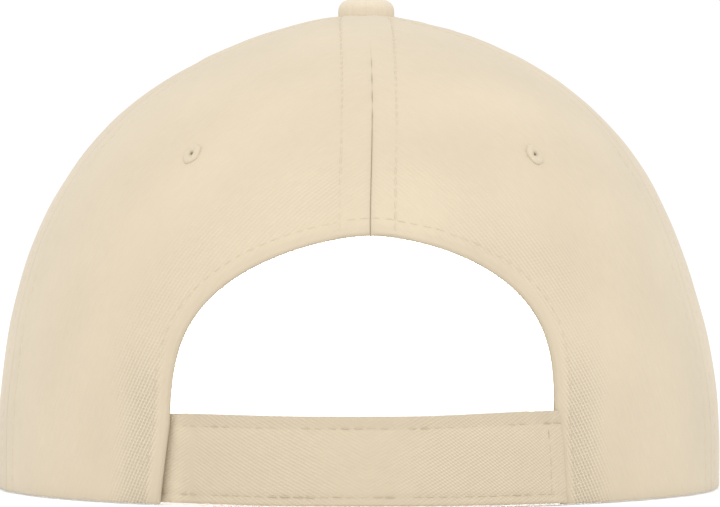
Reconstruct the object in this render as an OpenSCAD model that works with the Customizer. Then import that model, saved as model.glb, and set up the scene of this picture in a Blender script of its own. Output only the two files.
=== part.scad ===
// Five-panel baseball cap with a curved visor, an arched rear opening and a
// hook-and-loop strap. Millimetres. The hem lies on z = 0, +Z is up, the visor
// points along -Y, the rear opening is on +Y and the wearer's left is +X.
// Around the crown, angle t runs from the centre back (0) to the left side (90)
// and on to the centre front (180). The right side has negative t.

/* [Crown] */
// Width of the crown at the hem, side to side
crown_w = 176; // [164:1:186]
// Length of the crown at the hem, back to front
crown_l = 205; // [192:1:216]
// Height of the crown without its button
crown_h = 115; // [105:1:125]
// Roundness of the crown seen from behind, 2 is an ellipse
fullness = 2.26; // [2:0.02:2.5]
// How much fuller the stiffened front is than the back
front_fullness = 0.5; // [0:0.05:0.8]
// How much the roundness drops towards the top, which makes it slightly tented
tenting = 0.42; // [0:0.02:0.6]
// Sideways lean of the top, negative to the right
top_lean = -1.5; // [-3:0.1:3]
// Sideways lean of the middle, positive to the left
side_lean = 1.25; // [-2:0.05:2]
// Rise of the hem at the centre front, where the visor arches
hem_rise = 20; // [10:1:26]
// Thickness of the twill with its turned seams
panel_t = 0.9; // [0.7:0.1:1.2]

/* [Seams] */
// Drift of the centre back seam around the crown, in degrees
back_seam_t = -2.6; // [-3:0.1:3]
// Angle of the side seam at the hem
side_seam_t = 73; // [68:1:78]
// Angle of the front seam at the hem
front_seam_t = 128; // [122:1:134]
// Width of the tape that covers a seam inside
tape_w = 14; // [10:1:18]
// Thickness of the seam tape
tape_t = 0.5; // [0.4:0.1:0.7]

/* [Rear opening] */
// Half the width of the opening at its widest
arch_half_w = 43.85; // [38:0.05:48]
// Height above the hem at which the arch is widest
arch_base_z = 18.3; // [14:0.1:22]
// Rise of the arch above its widest height
arch_rise = 42.8; // [36:0.1:48]
// How much wider the opening is at the hem, each side
arch_flare = 1.7; // [0:0.1:3]
// How straight the arch's sides rise, 2 is an ellipse
arch_side_power = 3.2; // [2:0.1:4]
// How flat the arch's top is, 2 is an ellipse
arch_top_power = 1.6; // [1.4:0.1:2.6]
// Width of the facing sewn inside the arch
facing_w = 10; // [8:0.5:14]

/* [Strap] */
// Height of both straps
strap_h = 20; // [18:0.5:24]
// Height of the lower edge of the straps above the hem
strap_z = 0.3; // [0.3:0.1:1]
// Thickness of a strap of two twill layers
strap_t = 1.4; // [1.2:0.1:1.6]
// Thickness of the hook tape and of the loop tape
grip_t = 0.9; // [0.7:0.1:1.1]
// Angle at which the hook strap leaves its sewn root
swing_t = 28; // [27:0.5:29]
// Angle at which the peeling tip of the hook strap begins
peel_t = 0; // [-2:0.5:2]
// Angle at which the hook strap ends, over the right back panel
tip_end_t = -31.6; // [-33:0.1:-30.5]
// Angle at which the loop tab leaves its sewn root
tab_t = -28.5; // [-29:0.5:-27]

/* [Visor] */
// Half the angle that the visor spans around the front
visor_half_t = 65; // [60:1:68]
// Length of the visor in front of the crown
visor_l = 70; // [60:1:78]
// Half the width of the visor at its ends
visor_half_w = 82; // [78:0.5:82]
// Drop of the visor's front edge at its centre
visor_drop = 2; // [0:0.5:10]
// Thickness of the visor board
board_t = 2; // [1.6:0.1:2.4]
// Thickness of a visor cover
cover_t = 0.7; // [0.6:0.1:0.9]

/* [Sweatband and stiffener] */
// Height of the sweatband
band_h = 32; // [26:1:36]
// Thickness of the sweatband
band_t = 1.1; // [0.9:0.1:1.4]
// Thickness of the padding behind the sweatband
padding_t = 1.4; // [1:0.1:1.5]
// Thickness of the front stiffener
stiffener_t = 0.7; // [0.5:0.1:0.9]

/* [Button and eyelets] */
// Radius of the covered button
button_r = 6.85; // [6:0.05:8]
// Height of the covered button
button_h = 4.1; // [3:0.1:5]
// Radius of an eyelet's sewn ring
eyelet_r = 1.95; // [1.7:0.05:2.4]
// Radius of an eyelet's hole
eyelet_hole_r = 0.8; // [0.6:0.05:1]
// Height of the eyelets as a share of the crown's height
eyelet_height = 0.695; // [0.6:0.005:0.75]

/* [Hidden] */

twill = [0.90, 0.84, 0.74];
twill_dark = [0.85, 0.79, 0.68];
white_cotton = [0.95, 0.95, 0.93];
grip_tan = [0.80, 0.73, 0.60];
metal = [0.75, 0.75, 0.77];
plastic_white = [0.90, 0.90, 0.90];

panels = 5;
top_step_t = 360 / panels;      // angle between neighbouring seams at the top
gap = 0.3;                      // clearance between layers
sewn = 0.05;                    // clearance between pieces sewn flat together
hole_z = 0.9993;                // share of the height at which the panels stop
semi_x = crown_w / 2;
semi_y = crown_l / 2;
front_power = 1.5;              // how quickly the fuller front sets in past the sides
tenting_power = 8;              // how close to the top the tenting stays
lean_power = 6;                 // how close to the top the top's lean stays
side_lean_power = 4;            // how close to mid-height the middle's lean stays
arch_lean_power = 1.4;          // how close to its top the arch leans
row_ease = 0.88;                // spreads a tape's rows evenly up the curved crown
arch_top_z = arch_base_z + arch_rise;

// Offsets from the crown's outer face, outward positive
panel_in = -panel_t;
tape_out = panel_in - gap;
tape_in = tape_out - tape_t;
root_out = tape_in - gap;
root_in = root_out - strap_t;
band_out = root_in - gap;
band_in = band_out - band_t;

// ---- the crown's surface -------------------------------------------------

// Weight of the front: 0 on the back half, 1 at the centre front
function front_weight(t) = pow(max(0, -cos(t)), front_power);
function roundness(t, zs) =
    fullness + front_fullness * front_weight(t) - tenting * pow(zs, tenting_power);
// Share of the hem's width that is left at a share zs of the height
function inset(t, zs) =
    let (n = roundness(t, zs)) pow(1 - pow(zs, n), 1 / n);
function lean_x(zs) =
    top_lean * pow(zs, lean_power) + side_lean * pow(sin(180 * zs), side_lean_power);
function skin(t, zs) = [
    semi_x * inset(t, zs) * sin(t) + lean_x(zs),
    semi_y * inset(t, zs) * cos(t),
    crown_h * zs
];
function unit(v) = v / norm(v);
// Outward normal of the crown's surface
function skin_normal(t, zs) =
    let (
        dt = 0.2,
        dz = min(0.002, (1 - zs) / 2),
        low = max(0, zs - dz),
        along = skin(t + dt, zs) - skin(t - dt, zs),
        up = skin(t, zs + dz) - skin(t, low)
    ) unit(cross(up, along));
// A point at angle t and height z in mm, offset d from the outer face
function at(t, z, d = 0) =
    let (zs = z / crown_h) skin(t, zs) + d * skin_normal(t, zs);
// Angle of the back surface's point with this x and z
function angle_of(x, z) =
    let (zs = z / crown_h) asin((x - lean_x(zs)) / (semi_x * inset(0, zs)));
function hem_z(t) = cos(t) < 0 ? hem_rise * pow(cos(t), 2) : 0;
function mix(a, b, f) = a + (b - a) * f;
function smooth(f) = let (c = min(1, max(0, f))) c * c * (3 - 2 * c);

// ---- shells between two grids of points ----------------------------------

function ring_faces(a, b, n) = [[b, a, a + n], [b, a + n, b + n]];
// A closed shell: rows go up and columns go with t, on both grids
module shell(outer, inner) {
    rows = len(outer);
    cols = len(outer[0]);
    n = rows * cols;
    points = [for (grid = [outer, inner]) for (row = grid) for (p = row) p];
    skins = [
        for (i = [0:rows - 2]) for (j = [0:cols - 2])
            let (a = i * cols + j, b = a + 1, d = a + cols, c = d + 1)
            each [[a, b, c], [a, c, d], [a + n, c + n, b + n], [a + n, d + n, c + n]]
    ];
    low_rim = [for (j = [0:cols - 2]) each ring_faces(j, j + 1, n)];
    top = (rows - 1) * cols;
    top_rim = [for (j = [0:cols - 2]) each ring_faces(top + j + 1, top + j, n)];
    first_rim = [for (i = [0:rows - 2]) each ring_faces((i + 1) * cols, i * cols, n)];
    last = cols - 1;
    last_rim = [
        for (i = [0:rows - 2]) each ring_faces(i * cols + last, (i + 1) * cols + last, n)
    ];
    polyhedron(points, concat(skins, low_rim, top_rim, first_rim, last_rim), convexity = 6);
}

// ---- the rear arch -------------------------------------------------------

seam_x = semi_x * inset(0, arch_top_z / crown_h) * sin(back_seam_t)
    + lean_x(arch_top_z / crown_h);
// The arch leans so that its top lies on the centre back seam
function arch_center(z) = seam_x * pow(z / arch_top_z, arch_lean_power);
function leg_half_w(z) = arch_half_w + arch_flare * (1 - z / arch_base_z);
// Point of the arch's edge grown by g: q runs 0 to 1 up a leg, over to 2 at the top
function arch_z(q, g = 0) =
    q < 1 ? arch_base_z * q
    : arch_base_z + (arch_rise + g) * pow(sin(90 * (q - 1)), 2 / arch_side_power);
function arch_w(q, g = 0) =
    q < 1 ? leg_half_w(arch_base_z * q) + g
    : (arch_half_w + g) * pow(cos(90 * (q - 1)), 2 / arch_top_power);

// ---- panels --------------------------------------------------------------

leg_rows = 2;
arch_rows = 9;
upper_rows = 11;
// Heights of the rows that all panels share, as shares of the way up
row_top = crown_h * hole_z;
upper_start = asin(pow(arch_top_z / row_top, fullness / 2));
row_z = concat(
    [for (k = [0:leg_rows - 1]) arch_z(k / leg_rows)],
    [for (k = [0:arch_rows]) arch_z(1 + k / arch_rows)],
    [for (k = [1:upper_rows])
        row_top * pow(sin(mix(upper_start, 90, k / upper_rows)), 2 / fullness)]
);
row_share = [for (z = row_z) z / row_top];
first_closed_row = leg_rows + arch_rows;
function row_height(t, k) = mix(hem_z(t), row_top, row_share[k]);

function side_seam(k) = mix(side_seam_t, top_step_t, row_share[k]);
function front_seam(k) = mix(front_seam_t, 2 * top_step_t, row_share[k]);
// Angle at which a back panel begins: side is 1 on the left and -1 on the right
function arch_angle(k, side) =
    k >= first_closed_row ? back_seam_t
    : let (
        q = k < leg_rows ? k / leg_rows : 1 + (k - leg_rows) / arch_rows,
        z = row_z[k]
    ) angle_of(arch_center(z) + side * arch_w(q), z);

function panel_grid(from, to, cols, d) = [
    for (k = [0:len(row_share) - 1]) [
        for (j = [0:cols])
            let (t = mix(from[k], to[k], j / cols)) at(t, row_height(t, k), d)
    ]
];
module panel(from, to, cols) {
    shell(panel_grid(from, to, cols, 0), panel_grid(from, to, cols, panel_in));
}
all_rows = [0:len(row_share) - 1];
back_cols = 12;
side_cols = 10;
front_cols = 18;

module front_panel() {
    color(twill)
        panel([for (k = all_rows) front_seam(k)], [for (k = all_rows) 360 - front_seam(k)],
            front_cols);
}
module side_panel(side) {
    low = [for (k = all_rows) side > 0 ? side_seam(k) : -front_seam(k)];
    high = [for (k = all_rows) side > 0 ? front_seam(k) : -side_seam(k)];
    color(twill) difference() {
        panel(low, high, side_cols);
        eyelet_cut(side * side_eyelet_t);
    }
}
module back_panel(side) {
    low = [for (k = all_rows) side > 0 ? arch_angle(k, 1) : -side_seam(k)];
    high = [for (k = all_rows) side > 0 ? side_seam(k) : arch_angle(k, -1)];
    color(twill) difference() {
        panel(low, high, back_cols);
        eyelet_cut(back_eyelet_t(side));
    }
}
module side_panel_left() side_panel(1);
module side_panel_right() side_panel(-1);
module back_panel_left() back_panel(1);
module back_panel_right() back_panel(-1);

// ---- inside layers -------------------------------------------------------

// Share of the way up of row i: turn is the angle round the crown's side that the rows span
function eased_share(i, rows, turn) = pow(sin(turn * i / rows) / sin(turn), row_ease);
// Half the angle that a seam tape covers at angle t and height z
function tape_half_t(t, z) =
    asin(min(0.5, tape_w / 2 / (semi_x * inset(t, z / crown_h))));

stiffener_rows = 12;
stiffener_cols = 14;
stiffener_low = 6;
stiffener_top_share = 0.93;
stiffener_turn = 72;
stiffener_margin_t = 1.5;
stiffener_side_t = 6;
// Height of the stiffener's side edge, which stays clear of the seam tape there
function stiffener_edge_z(share) =
    mix(hem_z(front_seam_t + stiffener_side_t) + stiffener_low, row_top, share);
function stiffener_grid(d) = [
    for (i = [0:stiffener_rows])
        let (
            share = stiffener_top_share * eased_share(i, stiffener_rows, stiffener_turn),
            edge_z = stiffener_edge_z(share),
            seam_t = mix(front_seam_t, 2 * top_step_t, edge_z / crown_h),
            seam = seam_t + tape_half_t(seam_t, edge_z) + stiffener_margin_t * (1 + share)
        ) [
            for (j = [0:stiffener_cols])
                let (
                    t = mix(seam, 360 - seam, j / stiffener_cols),
                    low = hem_z(t) + stiffener_low
                ) at(t, mix(low, row_top, share), d)
        ]
];
module front_stiffener() {
    color(plastic_white)
        shell(stiffener_grid(tape_out), stiffener_grid(tape_out - stiffener_t));
}

tape_rows = 14;
tape_top_share = 0.993;
tape_turn = 84;
tape_hem_margin = 2;
// A tape over the seam whose angle is low_t at the hem and high_t at the top
function tape_grid(low_t, high_t, start_z, d) = [
    for (i = [0:tape_rows])
        let (
            share = tape_top_share * eased_share(i, tape_rows, tape_turn),
            z = mix(start_z, crown_h, share),
            t = mix(low_t, high_t, z / crown_h),
            half = tape_half_t(t, z)
        ) [for (f = [-1, 0, 1]) at(t + f * half, z, d)]
];
module seam_tape(low_t, high_t, start_z) {
    color(white_cotton)
        shell(tape_grid(low_t, high_t, start_z, tape_out),
            tape_grid(low_t, high_t, start_z, tape_in));
}
module center_back_tape() seam_tape(back_seam_t, back_seam_t, arch_top_z + facing_w + 1);
module side_seam_tape_left() seam_tape(side_seam_t, top_step_t, tape_hem_margin);
module side_seam_tape_right() seam_tape(-side_seam_t, -top_step_t, tape_hem_margin);
// The front tapes start where the risen hem clears their front edges
front_tape_z = hem_z(front_seam_t + tape_half_t(front_seam_t, 0)) + tape_hem_margin;
module front_seam_tape_left() seam_tape(front_seam_t, 2 * top_step_t, front_tape_z);
module front_seam_tape_right() seam_tape(-front_seam_t, -2 * top_step_t, front_tape_z);

facing_rows = 18;
facing_inset = 0.4;
facing_start_q = 0.03;
// The facing runs up the left leg, over the arch and down the right leg
facing_q = concat(
    [facing_start_q, 0.5],
    [for (k = [0:facing_rows]) 1 + k / facing_rows]
);
function facing_point(q, side, g, d) =
    let (z = arch_z(q, g)) at(angle_of(arch_center(z) + side * arch_w(q, g), z), z, d);
function facing_grid(d) = concat(
    [for (q = facing_q)
        [for (g = [facing_inset, facing_w / 2, facing_w]) facing_point(q, 1, g, d)]],
    [for (k = [len(facing_q) - 2:-1:0])
        [for (g = [facing_inset, facing_w / 2, facing_w]) facing_point(facing_q[k], -1, g, d)]]
);
module opening_facing() {
    color(white_cotton) shell(facing_grid(tape_out), facing_grid(tape_in));
}

band_cols = 44;
band_end_t = 32.5;
band_lift = 1;
function band_grid(end_t, cols, low, high, d) = [
    for (f = [0, 0.5, 1]) [
        for (j = [0:cols])
            let (t = mix(end_t, 360 - end_t, j / cols))
            at(t, hem_z(t) + mix(low, high, f), d)
    ]
];
module sweatband() {
    color(white_cotton)
        shell(band_grid(band_end_t, band_cols, band_lift, band_h, band_out),
            band_grid(band_end_t, band_cols, band_lift, band_h, band_in));
}
padding_end_t = 46;
padding_margin = 3;
padding_cols = 44;
padding_in = band_out + gap;
padding_out = band_out + padding_t;
module sweatband_padding() {
    color(plastic_white)
        shell(
            band_grid(padding_end_t, padding_cols, padding_margin, band_h - padding_margin,
                padding_out),
            band_grid(padding_end_t, padding_cols, padding_margin, band_h - padding_margin,
                padding_in)
        );
}

// ---- eyelets and button --------------------------------------------------

// Puts a child at the crown's outer face, its z axis along the outward normal
module on_skin(t, zs) {
    n = skin_normal(t, zs);
    translate(skin(t, zs))
        rotate([0, acos(n[2]), atan2(n[1], n[0])])
            children();
}
function back_eyelet_t(side) = (back_seam_t + side * top_step_t) / 2;
side_eyelet_t = 1.5 * top_step_t;
neck_r = eyelet_hole_r + 0.4;
neck_clearance = 0.08;
module eyelet_cut(t) {
    cut_h = 8 * panel_t;
    on_skin(t, eyelet_height)
        translate([0, 0, -cut_h / 2])
            cylinder(h = cut_h, r = neck_r + neck_clearance, $fn = 32);
}
ring_t = 0.5;
outer_rise = 0.08;              // the outer ring clears the panel's curved face
inner_rise = 0.35;              // the inner ring clears the face's flat facets
module eyelet(t) {
    low = panel_in - inner_rise;
    color(twill_dark)
        on_skin(t, eyelet_height)
            rotate_extrude($fn = 32) {
                translate([eyelet_hole_r, low])
                    square([neck_r - eyelet_hole_r, outer_rise - low]);
                ring_profile(outer_rise, outer_rise + ring_t);
                ring_profile(low - ring_t, low);
            }
}
// Half section of a flat ring with bevelled outer corners
module ring_profile(z0, z1) {
    bevel = 0.18;
    polygon([
        [eyelet_hole_r, z0], [eyelet_r - bevel, z0], [eyelet_r, z0 + bevel],
        [eyelet_r, z1 - bevel], [eyelet_r - bevel, z1], [eyelet_hole_r, z1]
    ]);
}
module eyelet_back_left() eyelet(back_eyelet_t(1));
module eyelet_back_right() eyelet(back_eyelet_t(-1));
module eyelet_side_left() eyelet(side_eyelet_t);
module eyelet_side_right() eyelet(-side_eyelet_t);

button_z = crown_h + 0.1;
cloth_t = 0.55;
shell_t = 0.4;
rivet_r = 1.2;
plate_t = 0.4;
washer_z = crown_h - 2.7;
washer_t = 0.6;
washer_r = 5;
washer_clearance = 0.15;
dome_power = 0.62;              // 1 is an ellipse, less is squarer
// Half outline of a squarish dome
function dome(r, h) = [
    for (a = [0:7.5:90]) [r * pow(cos(a), dome_power), h * pow(sin(a), dome_power)]
];
module dome_shell(r, h, t) {
    inner = dome(r - t, h - t);
    rotate_extrude($fn = 64)
        polygon(concat(dome(r, h), [for (k = [len(inner) - 1:-1:0]) inner[k]]));
}
module at_top(z) {
    translate([top_lean, 0, z]) children();
}
module button_cover() {
    color(twill) at_top(button_z) dome_shell(button_r, button_h, cloth_t);
}
module button_shell() {
    r = button_r - cloth_t - sewn;
    color(metal) at_top(button_z) dome_shell(r, button_h - cloth_t - sewn, shell_t);
}
module button_rivet() {
    plate_r = button_r - cloth_t - shell_t - gap;
    burr_t = 0.4;
    burr_w = 0.7;
    stem_z = washer_z - gap;
    color(metal) {
        at_top(button_z) cylinder(h = plate_t, r = plate_r, $fn = 48);
        at_top(stem_z) cylinder(h = button_z - stem_z + plate_t / 2, r = rivet_r, $fn = 32);
        at_top(stem_z - burr_t) cylinder(h = burr_t, r = rivet_r + burr_w, $fn = 32);
    }
}
module button_washer() {
    bore_r = rivet_r + washer_clearance;
    color(metal)
        at_top(washer_z)
            rotate_extrude($fn = 48)
                translate([bore_r, 0]) square([washer_r - bore_r, washer_t]);
}

// ---- visor ---------------------------------------------------------------

visor_cols = 30;
visor_rows = 6;
visor_clearance = 0.2;
visor_lift = cover_t + board_t / 2 + sewn + visor_clearance;
visor_root = 0.3;               // gap between the crown's face and the visor
visor_end_y = -semi_y * cos(visor_half_t);
visor_front_y = -semi_y - visor_l;
visor_power = 2.4;
// Outline of the visor's outer edge, s from -1 at the left end to 1 at the right
function visor_edge(s) =
    let (
        side = s < 0 ? 1 : -1,
        a = 90 * abs(s)
    ) [
        side * visor_half_w * pow(sin(a), 2 / visor_power),
        mix(visor_end_y, visor_front_y, pow(cos(a), 2 / visor_power))
    ];
function visor_root_point(s) =
    let (p = at(180 + visor_half_t * s, hem_z(180 + visor_half_t * s), visor_root)) [p[0], p[1]];
function visor_z(p) =
    let (
        forward = max(0, (-semi_y - p[1]) / visor_l),
        across = 1 - pow(p[0] / semi_x, 2)
    ) hem_rise * across - visor_drop * forward * forward * across + visor_lift;
// A point of the board's middle surface, f from 0 at the crown to 1 at the edge
function visor_mid(s, f) =
    let (p = mix(visor_root_point(s), visor_edge(s), f)) [p[0], p[1], visor_z(p)];
function visor_up(s, f) =
    let (
        e = 0.02,
        g = min(1 - e, max(e, f)),
        h = min(1 - e, max(e - 1, s)),
        along = visor_mid(h + e, g) - visor_mid(h - e, g),
        out = visor_mid(h, g + e) - visor_mid(h, g - e),
        n = unit(cross(out, along))
    ) n[2] < 0 ? -n : n;
// Direction from the crown to the edge, level with the surface
function visor_out(s) = unit(visor_mid(s, 1) - visor_mid(s, 0.9));
visor_s = [for (j = [0:visor_cols]) 1 - 2 * j / visor_cols];

function visor_layer(d) = [
    for (i = [0:visor_rows]) [
        for (s = visor_s) let (f = i / visor_rows) visor_mid(s, f) + d * visor_up(s, f)
    ]
];
module visor_board() {
    color(plastic_white) shell(visor_layer(board_t / 2), visor_layer(-board_t / 2));
}
wrap_steps = 3;
wrap_turn = 88;                 // just short of the middle, so the covers don't meet
// A cover lies on the board and wraps its edge down to the middle
function cover_grid(d, side) = concat(
    [for (i = [0:visor_rows])
        [for (s = visor_s) let (f = i / visor_rows)
            visor_mid(s, f) + side * d * visor_up(s, f)]],
    [for (k = [1:wrap_steps])
        let (a = wrap_turn * k / wrap_steps)
        [for (s = visor_s)
            visor_mid(s, 1) + d * (sin(a) * visor_out(s) + cos(a) * side * visor_up(s, 1))]]
);
cover_in = board_t / 2 + sewn;
module visor_top_cover() {
    color(twill) shell(cover_grid(cover_in + cover_t, 1), cover_grid(cover_in, 1));
}
module visor_under_cover() {
    color(twill) shell(cover_grid(cover_in, -1), cover_grid(cover_in + cover_t, -1));
}

// ---- straps --------------------------------------------------------------

strap_rows = 2;
strap_step_t = 2.5;
// Offset of the hook strap's middle: tucked under the left panel, over the right one
tucked = root_out - strap_t / 2;
over = gap + strap_t / 2;
rise_from_t = swing_t + 1;
rise_to_t = 2;
function strap_mid(t) =
    mix(tucked, over, smooth((rise_from_t - t) / (rise_from_t - rise_to_t)));
function strap_grid(from_t, to_t, z0, z1, d) =
    let (cols = ceil((to_t - from_t) / strap_step_t)) [
        for (i = [0:strap_rows]) [
            for (j = [0:cols])
                let (t = mix(from_t, to_t, j / cols))
                at(t, mix(z0, z1, i / strap_rows), strap_mid(t) + d)
        ]
    ];
function flat_grid(from_t, to_t, z0, z1, d) =
    let (cols = ceil((to_t - from_t) / strap_step_t)) [
        for (i = [0:strap_rows]) [
            for (j = [0:cols])
                at(mix(from_t, to_t, j / cols), mix(z0, z1, i / strap_rows), d)
        ]
    ];
strap_top = strap_z + strap_h;
grip_margin = 1.5;
root_len_t = 12;
cut_t = 0.1;                    // half the angle left free at a hook strap hinge
tab_cut_t = 0.25;               // the same at the loop tab's, which turns about its middle
module strap_piece(from_t, to_t) {
    color(twill_dark)
        shell(strap_grid(from_t, to_t, strap_z, strap_top, strap_t / 2),
            strap_grid(from_t, to_t, strap_z, strap_top, -strap_t / 2));
}
module tab_piece(from_t, to_t) {
    color(twill_dark)
        shell(flat_grid(from_t, to_t, strap_z, strap_top, root_out),
            flat_grid(from_t, to_t, strap_z, strap_top, root_in));
}
module hook_strap_root() strap_piece(swing_t + cut_t, swing_t + root_len_t);
module hook_strap() strap_piece(peel_t + cut_t, swing_t - cut_t);
module hook_strap_tip() strap_piece(tip_end_t, peel_t - cut_t);
hook_from_t = -26.5;
hook_to_t = peel_t - 2;
module hook_tape() {
    z0 = strap_z + grip_margin;
    z1 = strap_top - grip_margin;
    out = over - strap_t / 2 - sewn;
    color(grip_tan)
        shell(flat_grid(hook_from_t, hook_to_t, z0, z1, out),
            flat_grid(hook_from_t, hook_to_t, z0, z1, out - grip_t));
}
tab_end_t = 1.5;
loop_from_t = tab_t + 1.5;
loop_to_t = tab_end_t - 1;
module loop_tab_root() tab_piece(tab_t - root_len_t, tab_t - tab_cut_t);
module loop_tab() tab_piece(tab_t + tab_cut_t, tab_end_t);
module loop_tape() {
    z0 = strap_z + grip_margin;
    z1 = strap_top - grip_margin;
    color(grip_tan)
        shell(flat_grid(loop_from_t, loop_to_t, z0, z1, root_out + sewn + grip_t),
            flat_grid(loop_from_t, loop_to_t, z0, z1, root_out + sewn));
}

front_panel();
side_panel_left();
side_panel_right();
back_panel_left();
back_panel_right();
front_stiffener();
center_back_tape();
side_seam_tape_left();
side_seam_tape_right();
front_seam_tape_left();
front_seam_tape_right();
opening_facing();
eyelet_back_left();
eyelet_back_right();
eyelet_side_left();
eyelet_side_right();
button_cover();
button_shell();
button_rivet();
button_washer();
visor_board();
visor_top_cover();
visor_under_cover();
sweatband();
sweatband_padding();
hook_strap_root();
hook_strap();
hook_strap_tip();
hook_tape();
loop_tab_root();
loop_tab();
loop_tape();
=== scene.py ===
import math

import bmesh
import bpy
import numpy as np
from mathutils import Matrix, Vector


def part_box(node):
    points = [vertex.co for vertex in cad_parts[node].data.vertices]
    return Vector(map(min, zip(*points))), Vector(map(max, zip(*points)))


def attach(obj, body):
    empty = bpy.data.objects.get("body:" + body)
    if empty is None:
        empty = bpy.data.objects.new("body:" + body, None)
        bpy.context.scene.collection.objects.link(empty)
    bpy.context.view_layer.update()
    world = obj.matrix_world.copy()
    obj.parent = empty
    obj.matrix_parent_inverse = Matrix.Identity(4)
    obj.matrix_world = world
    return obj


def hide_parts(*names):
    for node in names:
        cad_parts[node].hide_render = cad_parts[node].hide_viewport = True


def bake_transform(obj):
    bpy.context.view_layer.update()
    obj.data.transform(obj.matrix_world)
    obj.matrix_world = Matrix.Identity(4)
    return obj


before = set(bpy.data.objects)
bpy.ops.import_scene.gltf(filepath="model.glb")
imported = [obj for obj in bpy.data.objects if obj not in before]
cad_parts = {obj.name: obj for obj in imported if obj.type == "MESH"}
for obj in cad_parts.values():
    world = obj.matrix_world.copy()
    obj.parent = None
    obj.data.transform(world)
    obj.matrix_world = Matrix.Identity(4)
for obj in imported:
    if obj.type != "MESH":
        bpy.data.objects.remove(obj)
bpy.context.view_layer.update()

# A five-panel cap in cotton twill. Lengths are in millimetres until a mesh is made. Angles
# around the crown are in degrees: 0 at the centre back, 90 at the wearer's left, 180 in front.
MM = 0.001
rng = np.random.default_rng(11)


def node_box(node):
    """Lowest and highest corner of a CAD node, in millimetres."""
    lo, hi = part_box(node)
    return np.array(lo) / MM, np.array(hi) / MM


# ---- the crown's surface, as the CAD source has it ----

FULLNESS, FRONT_FULLNESS, TENTING = 2.26, 0.5, 0.42
FRONT_POWER, TENTING_POWER, LEAN_POWER = 1.5, 8, 6
TOP_LEAN = -1.5
SIDE_LEAN, SIDE_LEAN_POWER = 1.25, 4
HEM_RISE = 20.0
HOLE_SHARE = 0.9993
PANEL_T = 0.9
TAPE_OUT, TAPE_IN = -1.2, -1.7
ROOT_OUT, ROOT_IN = -2.0, -3.4
BAND_OUT, BAND_IN = -3.7, -4.8

CROWN_H = node_box("front_panel")[1][2] / HOLE_SHARE
ROW_TOP = CROWN_H * HOLE_SHARE
SEMI_X = node_box("side_panel_left")[1][0]


def mix(a, b, f):
    return a + (b - a) * f


def smoothstep(low, high, x):
    f = np.clip((x - low) / (high - low), 0.0, 1.0)
    return f * f * (3.0 - 2.0 * f)


def unit(v):
    return v / np.linalg.norm(v, axis=-1, keepdims=True)


def cos_deg(t):
    return np.cos(np.radians(t))


def sin_deg(t):
    return np.sin(np.radians(t))


def inset(t, share):
    """Share of the hem's width that is left at a share of the height."""
    front = np.maximum(0.0, -cos_deg(t)) ** FRONT_POWER
    power = FULLNESS + FRONT_FULLNESS * front - TENTING * share**TENTING_POWER
    return np.maximum(0.0, 1.0 - share**power) ** (1.0 / power)


SEMI_Y = -node_box("front_panel")[0][1] / inset(180.0, HEM_RISE / CROWN_H)


def lean_x(share):
    """Sideways drift of the crown at a share of its height."""
    return TOP_LEAN * share**LEAN_POWER + SIDE_LEAN * sin_deg(180.0 * share) ** SIDE_LEAN_POWER


def skin(t, share):
    reach = inset(t, share)
    x = SEMI_X * reach * sin_deg(t) + lean_x(share)
    return np.stack([x, SEMI_Y * reach * cos_deg(t), CROWN_H * share + 0.0 * x], -1)


def skin_normal(t, share):
    dt = 0.2
    dz = np.minimum(0.002, (1.0 - share) / 2)
    along = skin(t + dt, share) - skin(t - dt, share)
    up = skin(t, share + dz) - skin(t, np.maximum(0.0, share - dz))
    return unit(np.cross(up, along))


def at(t, z, d=0.0):
    """Points at angle t and height z, offset d outward from the CAD surface."""
    share = z / CROWN_H
    return skin(t, share) + np.asarray(d)[..., None] * skin_normal(t, share)


def per_degree(t, z):
    """Millimetres along the surface for one degree of t."""
    return np.linalg.norm(at(t + 0.5, z) - at(t - 0.5, z), axis=-1)


def hem_z(t):
    c = cos_deg(t)
    return np.where(c < 0, HEM_RISE * c * c, 0.0)


def row_height(t, share):
    return mix(hem_z(t), ROW_TOP, share)


# ---- seams and the rear arch ----

BACK_SEAM_T, SIDE_SEAM_T, FRONT_SEAM_T, TOP_STEP_T = -2.6, 73.0, 128.0, 72.0
ARCH_HALF_W, ARCH_BASE_Z, ARCH_RISE = 43.85, 18.3, 42.8
ARCH_FLARE, ARCH_SIDE_POWER, ARCH_TOP_POWER, ARCH_LEAN_POWER = 1.7, 3.2, 1.6, 1.4
ARCH_TOP_Z = ARCH_BASE_Z + ARCH_RISE


def angle_of(x, z):
    """Angle of the back surface's point with this x and z."""
    return np.degrees(np.arcsin((x - lean_x(z / CROWN_H)) / (SEMI_X * inset(0.0, z / CROWN_H))))


SEAM_X = skin(BACK_SEAM_T, ARCH_TOP_Z / CROWN_H)[0]


def arch_point(q, side, grow=0.0):
    """Angle and height of the arch's edge grown by grow: q is 0 at the hem, 1 where the arch
    springs and 2 at its top, and side is 1 on the left and -1 on the right."""
    turn = np.radians(90.0 * np.clip(q - 1.0, 0.0, 1.0))
    leg_z = ARCH_BASE_Z * q
    leg_w = ARCH_HALF_W + ARCH_FLARE * (1.0 - q) + grow
    over_z = ARCH_BASE_Z + (ARCH_RISE + grow) * np.sin(turn) ** (2 / ARCH_SIDE_POWER)
    over_w = (ARCH_HALF_W + grow) * np.maximum(0.0, np.cos(turn)) ** (2 / ARCH_TOP_POWER)
    z = np.where(q < 1, leg_z, over_z)
    w = np.where(q < 1, leg_w, over_w)
    center = SEAM_X * (z / ARCH_TOP_Z) ** ARCH_LEAN_POWER
    return angle_of(center + side * w, z), z


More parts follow.
